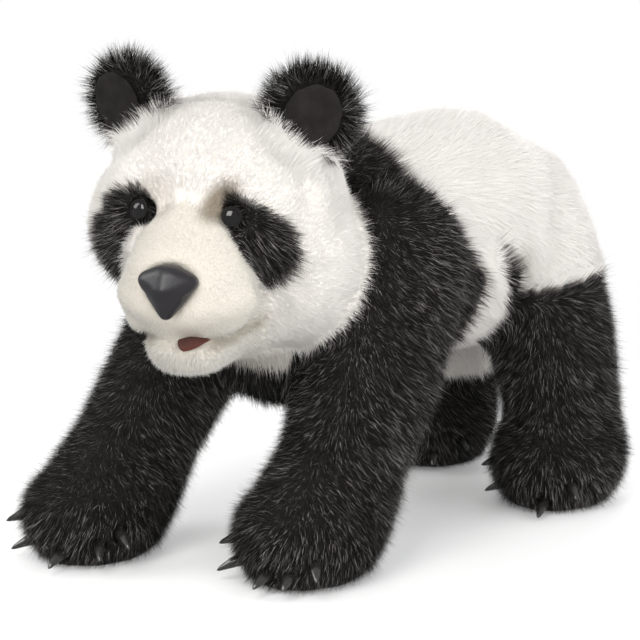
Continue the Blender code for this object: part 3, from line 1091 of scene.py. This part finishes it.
@dataclass
class Lie:
    """The way the pile lies over the body."""

    markings: Markings
    nose: Triple = (0.0, 86.0, -4.0)
    eyes: Triple = (24.0, 58.0, 20.0)
    shoulder: Triple = (0.0, 0.5, -0.86)
    leg: Triple = (0.0, 0.22, -1.0)
    back: Triple = (0.0, 1.0, -0.12)
    rump: Triple = (0.0, 0.35, -1.0)
    flank: Triple = (0.0, -0.25, -0.75)
    belly: Triple = (0.0, 1.0, -0.2)
    edge: Triple = (0.0, 0.95, 0.12)
    thigh_edge: Triple = (0.0, 0.4, 0.9)
    ear_heart: Triple = (0.0, 0.0, -3.0)
    paw_fade: Pair = (52.0, 26.0)
    paw_heart: float = 0.45
    paw_spread: float = 0.75
    paw_fall: Triple = (0.0, 0.0, -0.8)
    fore_fade: Pair = (175.0, 105.0)
    rump_fade: Pair = (96.0, 150.0)
    flank_fade: Pair = (215.0, 150.0)
    hind_fade: Pair = (140.0, 105.0)
    under_tilt: Pair = (-0.2, -0.8)
    under_fade: Pair = (70.0, 95.0)
    edge_fades: tuple[Pair, Pair] = ((9.0, 1.0), (-6.0, 0.0))
    thigh_fades: tuple[Pair, Pair] = ((12.0, 1.0), (-9.0, 0.0))
    thigh_front: Pair = (30.0, 44.0)
    overlap: float = 4.0
    nose_pull: Triple = (1.0, 0.8, 1.0)
    evening: int = 5

    def directions(self, skin: Skin) -> Array:
        """Gives the lie at each corner of the skin.

        Args:
            skin: The finished skin.

        Returns:
            Unit vectors in the surface.
        """
        points, normals, owner = skin.surface.points, skin.normals, skin.spots.owner
        way = self._body(points, normals)
        head = skin.spots.on_head
        way[head] = self._head(skin.spots.local[head], (skin.zone == Zone.PATCH.number)[head])
        for side in SIDES:
            ear = owner == Flesh[f"EAR_{side.upper()}"]
            way[ear] = unit(points[ear] - (node_middle(f"ear_lining_{side}") + self.ear_heart))
        for leg in LEGS:
            low, high = node_corners(FLESH[leg])
            back = low[1] + self.paw_heart * (high[1] - low[1])
            middle = np.array([(low[0] + high[0]) / 2, back, 0])
            paw = (owner == leg) & (points[:, 2] < self.paw_fade[0])
            spread = unit((points[paw] - middle) * (1, 1, 0))
            spread = unit(self.paw_spread * spread + self.paw_fall)
            share = step(points[paw, 2:3], *self.paw_fade)
            way[paw] = unit(blend(way[paw], spread, share))
        return along(skin.surface.relaxed(along(way, normals), self.evening), normals)

    def _body(self, points: Array, normals: Array) -> Array:
        """Gives the lie over the neck, trunk, legs and tail.

        Args:
            points: Points on the skin.
            normals: The skin's normals there.

        Returns:
            A direction at each point.
        """
        back, high = points[:, 1:2], points[:, 2:3]
        edge = self.markings.shoulder_back(high) - back
        under_top = self.markings.under_thigh_top(points)[:, None]
        shoulder, leg = np.array(self.shoulder), np.array(self.leg)
        fore = shoulder + step(high, *self.fore_fade) * (leg - shoulder)
        swept, raised = (
            step(at, *below) * step(at, *above)
            for at, (below, above) in ((edge, self.edge_fades), (under_top, self.thigh_fades))
        )
        fore = blend(fore, self.edge, swept)
        hind = blend(self.back, self.rump, step(back, *self.rump_fade))
        flank = np.abs(normals[:, 0:1]) * step(high, *self.flank_fade)
        hind = blend(hind + flank * np.array(self.flank), leg, step(high, *self.hind_fade))
        hind = blend(hind, self.thigh_edge, raised * step(back, *self.thigh_front))
        under = step(normals[:, 2:3], *self.under_tilt) * step(high, *self.under_fade)
        return unit(blend(np.where(edge > -self.overlap, fore, hind), self.belly, under))

    def _head(self, local: Array, patch: Array) -> Array:
        """Gives the lie over the head: away from the nose, or from the eye in a patch.

        Args:
            local: Points in the head's own axes.
            patch: True where they are in an eye patch.

        Returns:
            A direction at each point, in the toy's axes.
        """
        away = (local - np.array(self.nose)) * self.nose_pull
        ones = np.ones(len(local))
        eye = np.array(self.eyes) * np.stack([np.sign(local[:, 0]), ones, ones], axis=1)
        away = np.where(patch[:, None], unit(local - eye), unit(away))
        return self.markings.head.outward(away)


class Plot(IntEnum):
    """A piece of the coat, named for where it grows."""

    MUZZLE, FACE, CHEEKS, EYE_PATCHES, EARS, SHOULDERS, CHEST = range(7)
    FORELEG_LEFT, FORELEG_RIGHT, HINDLEG_LEFT, HINDLEG_RIGHT, BACK, BELLY = range(7, 13)


@dataclass
class Roots:
    """The places where tufts grow, with how each one grows."""

    points: Array
    normals: Array
    way: Array
    length: Array
    lift: Array
    clump: Array
    width: Array
    black: Array
    # The painted shade of the folds at each root.
    crease: Array
    zone: Array
    owner: Array

    def __len__(self) -> int:
        """Returns how many there are."""
        return len(self.points)

    def chosen(self, keep: Array) -> Roots:
        """Returns the roots that a mask picks."""
        return Roots(*(getattr(self, column.name)[keep] for column in fields(self)))


@dataclass
class Tufts:
    """Tufts as arrays: one row a tuft and one column a corner, three round the root and a tip."""

    points: Array
    places: Array
    custom_normal: Array
    tone: Array
    along: Array
    # The painted shade of the folds, on each corner.
    crease: Array


class Layer(Enum):
    """A layer of pile: its density's name in Growth, its reach, its width and its seed."""

    UNDER = ("under", 0.85, 0.92, 11)
    OVER = ("over", 1.18, 0.95, 12)


class BoxUnwrap:
    """An unwrap of the skin: six flat views of it, side by side in the bake's map."""

    COLUMNS, ROWS, EDGE = 3, 2, 0.006

    def __init__(self, points: Array) -> None:
        """Sizes the views to the points they must hold."""
        self.low = points.min(axis=0)
        span = float((points.max(axis=0) - self.low).max()) + 1e-6
        self.scale = (1.0 / self.COLUMNS - 2 * self.EDGE) / span

    def place(self, points: Array, normals: Array) -> Array:
        """Gives each point its place in the map.

        Args:
            points: Points on the skin.
            normals: The skin's normals there.

        Returns:
            The places, two numbers a row.
        """
        axis = np.abs(normals).argmax(axis=1)
        rows = np.arange(len(points))
        flat = (points - self.low) * self.scale
        across = axis / self.COLUMNS + self.EDGE + flat[rows, (axis + 1) % 3]
        upward = (normals[rows, axis] < 0) / self.ROWS + self.EDGE + flat[rows, (axis + 2) % 3]
        return np.column_stack([across, upward])


class TrimGuard:
    """Keeps tufts off the hard trim and out of the linings."""

    ROOM = {"eye": 0.1, "nose": 0.2, "claw": 0.15, "ear_lining": 0.1, "mouth_lining": 0.1}
    RAGGED = {"ear_lining": 1.1, "mouth_lining": 0.7}
    COVER = 12.0
    SEARCH = 3.0
    DEPTH = 2.5

    def __init__(self, nodes: Nodes) -> None:
        """Collects the trim from the frame's nodes."""
        self.trim = []
        for kind in self.ROOM:
            for name in (n for n in nodes if n.startswith(kind)):
                corners = [v.co / MM for v in nodes[name].data.vertices]
                faces = [list(p.vertices) for p in nodes[name].data.polygons]
                tree = BVHTree.FromPolygons(corners, faces)
                self.trim.append((kind, tree, *node_corners(name)))

    def clear(self, roots: Roots) -> Array:
        """Tells which roots are free to grow.

        Args:
            roots: The roots.

        Returns:
            False near or behind a piece of trim.
        """
        free = np.ones(len(roots), bool)
        ragged = np.random.default_rng(31).normal(size=(len(roots), 3))
        for kind, tree, low, high in self.trim:
            room, lining = self.ROOM[kind], kind in self.RAGGED
            reach = self.COVER if lining else room + 1.0
            near = np.all((roots.points > low - reach) & (roots.points < high + reach), axis=1)
            for n in np.flatnonzero(near & free):
                point, normal = Vector(roots.points[n]), Vector(roots.normals[n])
                hit, outward, _, away = tree.find_nearest(point, room + self.SEARCH)
                if hit is not None and (point - hit).dot(outward) < room:
                    free[n] = away >= room + self.DEPTH
                if lining and free[n]:
                    point = point + Vector(ragged[n] * self.RAGGED[kind])
                    free[n] = tree.ray_cast(point, normal, reach)[0] is None
        return free


@dataclass
class Coat:
    """The pile: thin tufts of solid mesh, which overlap and lie along the body.

    Loose, roll and roundness are for black and for white pile, and levelling for white pile on
    the head and elsewhere. A taming is the share of the pile's length that is left at a piece
    of trim, the share that comes back, and the distances between which it does. The section is
    a tuft's, in widths: across the tuft, and up from the skin.
    """

    skin: Skin
    lie: Lie
    claws: Sequence[str]
    budget: int = 1_440_000
    piece_limit: int = 195_000
    smallest_piece: int = 600
    sink: float = 0.5
    floor: float = 0.25
    clump_size: int = 13
    clump_reach: Pair = (7.0, 3.0)
    clump_pull: Pair = (0.45, 1.0)
    tuft_pull: Pair = (0.6, 1.0)
    evening: int = 8
    loose: Pair = (1.1, 1.0)
    loose_ears: float = 2.2
    waves: Triple = (0.16, 24.0, 5)
    stray: float = 0.14
    lengths: Pair = (0.66, 1.14)
    lifts: Pair = (0.7, 1.3)
    widths: Pair = (0.7, 1.2)
    wild: float = 0.08
    wild_lift: float = 1.7
    wild_length: float = 0.35
    steepest: float = 80.0
    shares: Pair = (0.45, 0.55)
    roll: Pair = (0.6, 0.2)
    roundness: Pair = (0.9, 0.35)
    levelling: Pair = (2.6, 0.9)
    patch: float = 0.0015
    eye_taming: Row = (0.68, 0.32, 5.0, 13.0)
    nose_taming: Row = (0.55, 0.45, 12.0, 24.0)
    claw_taming: Row = (0.72, 0.28, 5.0, 10.0)
    claw_height: float = 40.0
    ear_foot: Pair = (34.0, 18.0)
    ear_foot_lift: float = 45.0
    ear_foot_length: float = 1.1
    shoulder_height: float = 130.0
    FACES, CORNERS = 3, 4
    SHAPE = ("length", "root_lift", "tip_lift", "clump", "width")
    SECTION = ((0.5, 0.0), (0.0, -0.35), (-0.5, 0.0))
    KEEL = 6.0

    def build(self, trim: TrimGuard) -> list[Item]:
        """Grows the whole coat.

        Args:
            trim: Keeps tufts off the hard trim and the linings.

        Returns:
            The coat's pieces.
        """
        skin = self.skin
        way = self.lie.directions(skin)
        shape = np.stack([Zone.values(name) for name in self.SHAPE], axis=1)[skin.zone]
        even = skin.surface.relaxed(shape, self.evening)
        area, first = skin.surface.areas(), skin.surface.faces[:, 0]
        densities = {layer: Zone.values(layer.value[0])[skin.zone] for layer in Layer}
        full = sum((area * density[first]).sum() * self.FACES for density in densities.values())
        thickness = self.budget / full
        LOG.info("skin %.0f cm2, tufts at %.2f of full density", area.sum() / 100, thickness)
        grown = {}
        for layer, density in densities.items():
            roots = self._sow(layer, density * thickness, even, way)
            roots = roots.chosen(trim.clear(roots))
            grown[layer] = (roots, self._plots(roots))
        pieces = []
        for plot in Plot:
            for black in (True, False):
                sets = {
                    layer: roots.chosen((where == plot) & (roots.black == black))
                    for layer, (roots, where) in grown.items()
                }
                pieces += self._pieces(plot, black, sets)
        return pieces

    def _sow(self, layer: Layer, density: Array, even: Array, way: Array) -> Roots:
        """Scatters the roots of one layer.

        Args:
            layer: The layer.
            density: The tufts per square millimetre at each corner of the skin.
            even: The pile's shape at each corner, as SHAPE names it.
            way: The pile's lie at each corner.

        Returns:
            The roots.
        """
        skin, faces = self.skin, self.skin.surface.faces
        rng = np.random.default_rng(layer.value[3])
        weight = np.cumsum(skin.surface.areas() * density[faces].mean(axis=1))
        count = int(weight[-1])
        reads = (np.arange(count) + rng.random(count)) * (weight[-1] / count)
        picked = faces[np.minimum(np.searchsorted(weight, reads), len(faces) - 1)]
        share = rng.random((count, 2))
        share = np.where(share.sum(axis=1, keepdims=True) > 1, 1 - share, share)
        share = np.column_stack([share, 1 - share.sum(axis=1)])
        points, normals, way, shape = (
            np.einsum("ij,ij...->i...", share, values[picked])
            for values in (skin.surface.points, skin.normals, way, even)
        )
        nearest = picked[np.arange(count), share.argmax(axis=1)]
        at = Spots(points, skin.spots.owner[nearest], skin.markings.head)
        length, lift, clump, width = shape[:, 0], shape[:, 1:3], shape[:, 3], shape[:, 4]
        # Each root carries the painted shade of the folds.
        black, crease = skin.markings.black(at), skin.markings.creases(at)
        look = (black, crease, skin.zone[nearest], at.owner)
        return self._tamed(Roots(points, unit(normals), way, length, lift, clump, width, *look))

    def _tamed(self, roots: Roots) -> Roots:
        """Shortens the pile at the hard trim, and raises the white pile at the ears' feet."""
        everywhere = np.ones(len(roots), bool)
        low = roots.points[:, 2] < self.claw_height
        trim = [(f"eye_{side}", self.eye_taming, everywhere) for side in SIDES]
        trim.append(("nose", self.nose_taming, everywhere))
        trim += [(name, self.claw_taming, low) for name in self.claws]
        for name, (left, back, start, end), where in trim:
            away = apart(roots.points[where], node_middle(name))
            roots.length[where] *= left + back * step(away, start, end)
        for side in SIDES:
            away = apart(roots.points, node_middle(f"ear_lining_{side}"))
            raised = step(away, *self.ear_foot) * (roots.owner == Flesh.HEAD) * ~roots.black
            roots.lift = roots.lift + raised[:, None] * self.ear_foot_lift
            roots.length = roots.length * (1.0 + self.ear_foot_length * raised)
        return roots

    def _plots(self, roots: Roots) -> Array:
        """Returns the number in Plot of the piece that each root belongs to."""
        zones = {zone: roots.zone == zone.number for zone in Zone}
        high_up = roots.points[:, 2] > self.shoulder_height
        fur = zones[Zone.CHEEK] | zones[Zone.CROWN] | zones[Zone.THROAT]
        rules = [
            (zones[Zone.EAR], Plot.EARS),
            (zones[Zone.MUZZLE] | zones[Zone.JAW], Plot.MUZZLE),
            (zones[Zone.PATCH], Plot.EYE_PATCHES),
            (zones[Zone.FACE], Plot.FACE),
            (fur, Plot.CHEEKS),
            *((roots.owner == leg, Plot.FORELEG_LEFT + n) for n, leg in enumerate(LEGS)),
            (zones[Zone.SHOULDER] & high_up, Plot.SHOULDERS),
            (zones[Zone.SHOULDER], Plot.CHEST),
            (zones[Zone.BELLY], Plot.BELLY),
        ]
        tests, plots = zip(*rules)
        return np.select(tests, list(map(int, plots)), int(Plot.BACK))

    def _pieces(self, plot: Plot, black: bool, sets: Mapping[Layer, Roots]) -> list[Item]:
        """Makes the pieces of one plot and colour.

        Args:
            plot: Where they grow.
            black: Whether their pile is black.
            sets: The roots of each layer.

        Returns:
            The pieces, split by height so that each stays under the limit.
        """
        triangles = self.FACES * sum(map(len, sets.values()))
        if triangles < self.smallest_piece:
            return []
        parts = math.ceil(triangles / self.piece_limit)
        edges = np.quantile(sets[Layer.UNDER].points[:, 2], np.linspace(0, 1, parts + 1))
        edges[0], edges[-1] = -np.inf, np.inf
        colour = "black" if black else "white"
        finish = Finish[f"{colour.upper()}_ACRYLIC"]
        if plot is Plot.MUZZLE:
            finish = Finish.CREAM_ACRYLIC
        pieces = []
        for part, (low, high) in enumerate(zip(edges, edges[1:]), 1):
            name = f"coat_{plot.name.lower()}_{colour}" + (f"_{part}" if parts > 1 else "")
            chosen = {
                layer: roots.chosen((roots.points[:, 2] >= low) & (roots.points[:, 2] < high))
                for layer, roots in sets.items()
            }
            layout = BoxUnwrap(np.vstack([roots.points for roots in chosen.values()]))
            sown = [(layer, roots) for layer, roots in chosen.items() if len(roots)]
            tufts = [self._tufts(*each, layout, sum(map(ord, name))) for each in sown]
            pieces.append(dressed(self._mesh(name, tufts), finish, f"{colour}_pile"))
        return pieces

    def _tufts(self, layer: Layer, roots: Roots, layout: BoxUnwrap, seed: int) -> Tufts:
        """Shapes the tufts of one layer.

        Args:
            layer: The layer.
            roots: Where they grow.
            layout: Places them on the bake's map.
            seed: Chooses their variation.

        Returns:
            The tufts.
        """
        _, reach, breadth, layer_seed = layer.value
        rng = np.random.default_rng(seed + layer_seed)
        count, black, normals = len(roots), roots.black, roots.normals
        loose = np.where(black, *self.loose)[:, None]
        loose[roots.zone == Zone.EAR.number] = self.loose_ears
        amount, wavelength, eddies = self.waves
        stray = amount * swirl(roots.points, wavelength, eddies)
        stray = stray + self.stray * rng.normal(size=(count, 3))
        way = along(roots.way + loose * stray, normals)
        length = roots.length * reach * rng.uniform(*self.lengths, count)
        wild = np.where(rng.random(count) < self.wild * (1 + black), self.wild_lift, 1.0)[:, None]
        length = length * (1.0 + self.wild_length * (wild[:, 0] > 1.0) * black)
        lift = roots.lift * wild * rng.uniform(*self.lifts, (count, 1))
        base = tip = roots.points - normals * self.sink
        for share, angle in zip(self.shares, np.radians(np.minimum(lift, self.steepest)).T):
            leaned = way * np.cos(angle)[:, None] + normals * np.sin(angle)[:, None]
            tip = tip + leaned * (length * share)[:, None]
        tip = self._clumped(roots, tip, rng)
        width = roots.width * breadth * rng.uniform(*self.widths, count)
        across = unit(np.cross(tip - base, normals))
        up = unit(np.cross(across, tip - base))
        roll = rng.normal(size=count) * np.where(black, *self.roll)
        cosine, sine = np.cos(roll)[:, None], np.sin(roll)[:, None]
        across, up = across * cosine + up * sine, up * cosine - across * sine
        flat = np.where(black, *self.roundness)[:, None]
        on_head = roots.owner <= Flesh.LOWER_JAW
        level_out = normals * np.where(black, 0.0, np.where(on_head, *self.levelling))[:, None]
        corners, sides = [], []
        for out, high in self.SECTION:
            corners.append(base + (across * out + up * high) * width[:, None])
            sides.append(unit(across * (2 * out) * flat + up * (1.0 + self.KEEL * high) + level_out))
        points = np.stack([*corners, tip], axis=1)
        points[:, :, 2] = np.maximum(points[:, :, 2], self.floor)
        turns = 2 * math.pi * np.arange(3) / 3
        around = np.column_stack([np.cos(turns), np.sin(turns)]) * self.patch
        return Tufts(
            points=points,
            places=layout.place(roots.points, normals)[:, None, :] + np.vstack([around, (0, 0)]),
            custom_normal=np.stack([*sides, unit(up + level_out)], axis=1),
            tone=np.repeat(rng.random(count)[:, None], self.CORNERS, axis=1),
            along=np.tile((0.0, 0.0, 0.0, 1.0), (count, 1)),
            crease=np.repeat(roots.crease[:, None], self.CORNERS, axis=1),
        )

    def _clumped(self, roots: Roots, tips: Array, rng: np.random.Generator) -> Array:
        """Draws neighbouring tufts together.

        Args:
            roots: Where the tufts grow.
            tips: Their tips.
            rng: The random numbers.

        Returns:
            The new tips.
        """
        count = len(roots)
        leaders = rng.choice(count, max(1, count // self.clump_size), replace=False)
        tree = KDTree(len(leaders))
        for number, leader in enumerate(leaders):
            tree.insert(roots.points[leader], number)
        tree.balance()
        nearest = leaders[np.array([tree.find(p)[1] for p in roots.points])]
        pull = roots.clump * rng.uniform(*self.clump_pull, count)[nearest]
        pull = pull * rng.uniform(*self.tuft_pull, count)
        pull = pull * step(apart(roots.points, roots.points[nearest]), *self.clump_reach)
        return tips + pull[:, None] * (tips[nearest] - tips)

    def _mesh(self, name: str, tufts: Sequence[Tufts]) -> Item:
        """Makes one mesh of the tufts of every layer.

        Args:
            name: The object's name.
            tufts: The tufts.

        Returns:
            The object, with its bake map and its tufts' attributes.
        """
        whole = {c.name: np.vstack([getattr(t, c.name) for t in tufts]) for c in fields(Tufts)}
        count = len(whole["points"])
        tuft = np.array([(0, 1, 3), (1, 2, 3), (2, 0, 3)])
        corners = (self.CORNERS * np.arange(count)[:, None, None] + tuft).ravel()
        mesh = bpy.data.meshes.new(name)
        mesh.vertices.add(self.CORNERS * count)
        mesh.vertices.foreach_set("co", (whole.pop("points") * MM).astype(np.float32).ravel())
        mesh.loops.add(len(corners))
        mesh.loops.foreach_set("vertex_index", corners.astype(np.int32))
        mesh.polygons.add(self.FACES * count)
        mesh.polygons.foreach_set("loop_start", np.arange(0, len(corners), 3, dtype=np.int32))
        mesh.update(calc_edges=True)
        places = np.clip(whole.pop("places").reshape(-1, 2)[corners], 0, 1)
        bake_map = mesh.uv_layers.new(name=BAKE_MAP)
        bake_map.data.foreach_set("uv", places.astype(np.float32).ravel())
        for kind, values in whole.items():
            form, key = ("FLOAT_VECTOR", "vector") if values.ndim == 3 else ("FLOAT", "value")
            made = mesh.attributes.new(kind, form, "POINT")
            made.data.foreach_set(key, values.astype(np.float32).ravel())
        return add_object(name, mesh)


# ---------------------------------------- hard trim and linings


@dataclass
class Eye:
    """A bead eye in a rolled rim of cloth, which is thicker above."""

    side: str
    radius: float = 4.4
    flatten: float = 0.44
    rim: float = 0.8
    rim_circle: float = 0.93
    rim_height: float = 0.12
    rim_swell: float = 0.35
    sink: float = 0.2
    shift: Triple = (-1.6, 0.0, 1.0)
    look: Triple = (0.7, 1.0, 1.1)
    STEPS = (56, 12)

    def build(self, head: HeadFrame) -> list[Item]:
        """Makes the eye.

        Args:
            head: Says which way the eye looks.

        Returns:
            The bead and its rim.
        """
        node = f"eye_{self.side}"
        middle = node_middle(node)
        look = unit(head.outward(head.inward(middle[None]) * self.look))[0]
        middle = middle + head.outward(np.array(self.shift))
        turn = Vector(look).to_track_quat("Z", "Y").to_matrix().to_4x4()
        place = Matrix.Translation(Vector(middle - look * self.sink) * MM) @ turn
        bead, rim = bmesh.new(), bmesh.new()
        bmesh.ops.create_uvsphere(bead, u_segments=48, v_segments=32, radius=self.radius * MM)
        bmesh.ops.scale(bead, vec=(1, 1, self.flatten), verts=bead.verts)
        self._roll(rim)
        for shape in (bead, rim):
            bmesh.ops.transform(shape, matrix=place, verts=shape.verts)
            bmesh.ops.recalc_face_normals(shape, faces=shape.faces)
        return [
            dressed(add_shape(f"{node}_bead", bead), Finish.EYE_MOULDING, "eye_plastic", node),
            dressed(add_shape(f"{node}_rim", rim), Finish.LID_VELOUR, "black_pile"),
        ]

    def _roll(self, shape: bmesh.types.BMesh) -> None:
        """Adds the rolled rim to an empty shape."""
        around, across = self.STEPS
        rows = []
        for angle in (2 * math.pi * i / around for i in range(around)):
            thick = self.rim * (1.0 + self.rim_swell * math.sin(angle))
            rows.append([])
            for turn in (2 * math.pi * j / across for j in range(across)):
                reach = (self.radius * self.rim_circle + thick * math.cos(turn)) * MM
                high = (self.radius * self.rim_height + thick * math.sin(turn)) * MM
                corner = (reach * math.cos(angle), reach * math.sin(angle), high)
                rows[-1].append(shape.verts.new(corner))
        for i, j in np.ndindex(around, across):
            corners = ((i, j), (i + 1, j), (i + 1, j + 1), (i, j + 1))
            shape.faces.new([rows[a % around][b % across] for a, b in corners])


@dataclass
class Nose:
    """The moulded nose, with a nostril dimple on each side."""

    voxel: float = 0.55
    rounds: int = 25
    softening: int = 20
    swell: Triple = (1.06, 1.06, 1.0)
    drop: float = 0.4
    nostril: Dent = Dent((8.6, 86.5, -8.6), 3.6, 1.3)

    def build(self, nodes: Nodes, head: HeadFrame) -> Item:
        """Makes the nose.

        Args:
            nodes: The frame's nodes by name.
            head: The head's axes.

        Returns:
            The nose.
        """
        surface = refined(nodes["nose"], "nose_moulded", self.voxel, self.rounds)
        surface.soften(self.softening)
        surface.stretch(self.swell)
        surface.points = surface.points - (0, 0, self.drop)
        for side in SIDES.values():
            depth = self.nostril.at(head.inward(surface.points) * (side, 1, 1))
            surface.points = surface.points - surface.normals() * depth[:, None]
        return dressed(surface.write(), Finish.NOSE_MOULDING, "satin_plastic", "nose")


@dataclass
class Claws:
    """Five moulded claws on each paw."""

    voxel: float = 0.4
    rounds: int = 3

    def build(self, nodes: Nodes) -> list[Item]:
        """Makes every claw.

        Args:
            nodes: The frame's nodes by name.

        Returns:
            The claws.
        """
        made = []
        for name in sorted(n for n in nodes if n.startswith("claw_")):
            surface = refined(nodes[name], f"{name}_moulded", self.voxel, self.rounds)
            made.append(dressed(surface.write(), Finish.CLAW_MOULDING, "claw_plastic", name))
        return made


@dataclass
class Linings:
    """The short-napped cloth in the ears and the mouth."""

    voxel: float = 0.8
    rounds: int = 6
    softening: int = 40
    ear_grow: float = 0.9
    pucker: float = 0.18
    pucker_width: float = 9.0

    def build(self, nodes: Nodes) -> list[Item]:
        """Makes the linings.

        Args:
            nodes: The frame's nodes by name.

        Returns:
            The linings of both ears and of the mouth.
        """
        ears = [(f"ear_lining_{side}", f"ear_cloth_{side}", self.ear_grow) for side in SIDES]
        made = []
        for node, name, grow in (*ears, ("mouth_lining", "mouth_cloth", 0.0)):
            surface = refined(nodes[node], name, self.voxel, self.rounds, grow * MM)
            surface.soften(self.softening)
            pucker = swirl(surface.points, self.pucker_width, 21)[:, :1] * self.pucker
            surface.points = surface.points + surface.normals() * pucker
            look = (Finish.EAR_VELOUR, "charcoal_nap") if grow else (Finish.MOUTH_VELOUR, "red_cloth")
            made.append(dressed(surface.write(), *look, node))
        return made


# ---------------------------------------- the studio


@dataclass(frozen=True)
class SoftBox:
    """A square lamp that faces the toy: its place, and its sizes in metres and watts."""

    name: str
    azimuth: float
    elevation: float
    distance: float
    size: float
    power: float
    mirrored: bool = False
    colour: Colour = (1.0, 1.0, 1.0)


@dataclass
class Studio:
    """A plain pale floor, soft lamps and the camera. Distances are in metres."""

    aim: Triple = (-1.4, -31.0, 115.0)
    azimuth: float = 44.0
    elevation: float = 11.5
    distance: float = 1.05
    lens: float = 111.43
    floor_radius: float = 30.0
    floor_fade: float = 0.45
    ambient: float = 0.42
    lamps: tuple[SoftBox, ...] = (
        SoftBox("key", 20.0, 42.0, 1.2, 0.62, 7.6, True, (1.0, 0.99, 0.97)),
        SoftBox("front", 62.0, 12.0, 1.5, 0.7, 8.0),
        SoftBox("right", 96.0, 15.0, 1.5, 1.3, 13.5, False, (0.98, 0.99, 1.0)),
        SoftBox("back", 140.0, 32.0, 1.5, 1.0, 5.5),
        SoftBox("left", -45.0, 34.0, 1.5, 0.8, 8.0, True),
        SoftBox("rear", 215.0, 24.0, 1.6, 1.2, 18.0),
        SoftBox("top", 60.0, 84.0, 1.5, 1.8, 2.5),
    )

    def build(self) -> None:
        """Sets the floor, the world, the lamps and the camera."""
        self._floor()
        self._world()
        for lamp in self.lamps:
            self._lamp(lamp)
        self._camera()

    def _hang(self, item: Item, azimuth: float, elevation: float, distance: float) -> None:
        """Puts an object at a bearing and distance from the aim, looking at the aim.

        Args:
            item: The object.
            azimuth: Degrees round from the toy's front.
            elevation: Degrees above level.
            distance: Metres from the aim.
        """
        turn, rise = math.radians(azimuth), math.radians(elevation)
        level = math.cos(rise)
        way = Vector((math.sin(turn) * level, -math.cos(turn) * level, math.sin(rise)))
        item.location = Vector(self.aim) * MM + way * distance
        item.rotation_euler = way.to_track_quat("Z", "Y").to_euler()
        bpy.context.scene.collection.objects.link(item)

    def _floor(self) -> None:
        """Lays the floor, which fades into the white beyond it."""
        disc = bmesh.new()
        bmesh.ops.create_circle(disc, cap_ends=True, segments=96, radius=self.floor_radius)
        floor = add_shape("floor", disc)
        graph = Graph(bpy.data.materials.new("floor_paper"))
        graph.set(Base_Color=(0.93, 0.93, 0.93), Roughness=0.9, Specular_IOR_Level=0.1)
        away = graph.node("ShaderNodeVectorMath", {"operation": "LENGTH"}, {0: graph.place()}, "Value")
        fade = {"Value": away, "From Min": 0.0, "From Max": self.floor_fade}
        far = graph.node("ShaderNodeMapRange", {"interpolation_type": "SMOOTHSTEP"}, fade)
        glow = graph.node("ShaderNodeEmission", inputs={"Color": (1.0, 1.0, 1.0), "Strength": 1.0})
        paper = Wire(graph, graph.shader.outputs[0])
        mixed = graph.node("ShaderNodeMixShader", inputs={0: far, 1: paper, 2: glow})
        graph.feed(graph.first("OUTPUT_MATERIAL").inputs["Surface"], mixed)
        floor.data.materials.append(graph.owner)
        floor.visible_glossy = False

    def _world(self) -> None:
        """Adds an even light from all round, and a white surround behind the toy."""
        graph = Graph(bpy.data.worlds.new("surround"))
        seen = graph.node("ShaderNodeLightPath", output="Is Camera Ray")
        inputs = {"Value": seen, "To Min": self.ambient}
        graph.set(Color=(1.0, 1.0, 1.0), Strength=graph.node("ShaderNodeMapRange", inputs=inputs))
        bpy.context.scene.world = graph.owner

    def _lamp(self, box: SoftBox) -> None:
        """Hangs one soft box."""
        light = bpy.data.lights.new(box.name, "AREA")
        light.shape = "SQUARE"
        light.size = box.size
        light.energy = box.power
        light.color = box.colour
        lamp = bpy.data.objects.new(box.name, light)
        lamp.visible_glossy = box.mirrored
        self._hang(lamp, box.azimuth, box.elevation, box.distance)

    def _camera(self) -> None:
        """Sets the camera in front of the toy, towards its left."""
        lens = bpy.data.cameras.new("camera")
        lens.lens = self.lens
        lens.sensor_width = 36.0
        lens.clip_start = 0.05
        camera = bpy.data.objects.new("camera", lens)
        self._hang(camera, self.azimuth, self.elevation, self.distance)
        bpy.context.scene.camera = camera
        bpy.context.scene.view_settings.view_transform = "Standard"


# ---------------------------------------- all of it


@dataclass
class PlushPanda:
    """The whole toy, piece by piece."""

    nodes: Nodes

    def build(self) -> None:
        """Makes every piece and puts it on the body."""
        head = HeadFrame()
        skin = Skin(Markings(head))
        cover = dressed(skin.build(self.nodes), Finish.BACKING_KNIT, "white_pile", *FLESH)
        pieces = [cover]
        for side in SIDES:
            pieces += Eye(side).build(head)
        pieces.append(Nose().build(self.nodes, head))
        pieces += Claws().build(self.nodes)
        pieces += Linings().build(self.nodes)
        claws = [name for name in self.nodes if name.startswith("claw")]
        pieces += Coat(skin, Lie(skin.markings), claws).build(TrimGuard(self.nodes))
        for piece in pieces:
            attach(piece, "root")
            LOG.info("%s: %d faces", piece.name, len(piece.data.polygons))


def main() -> None:
    """Builds the toy and its studio."""
    logging.basicConfig(level=logging.INFO, format="%(message)s")
    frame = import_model()
    PlushPanda(frame["nodes"]).build()
    Studio().build()


if __name__ == "__main__":
    main()
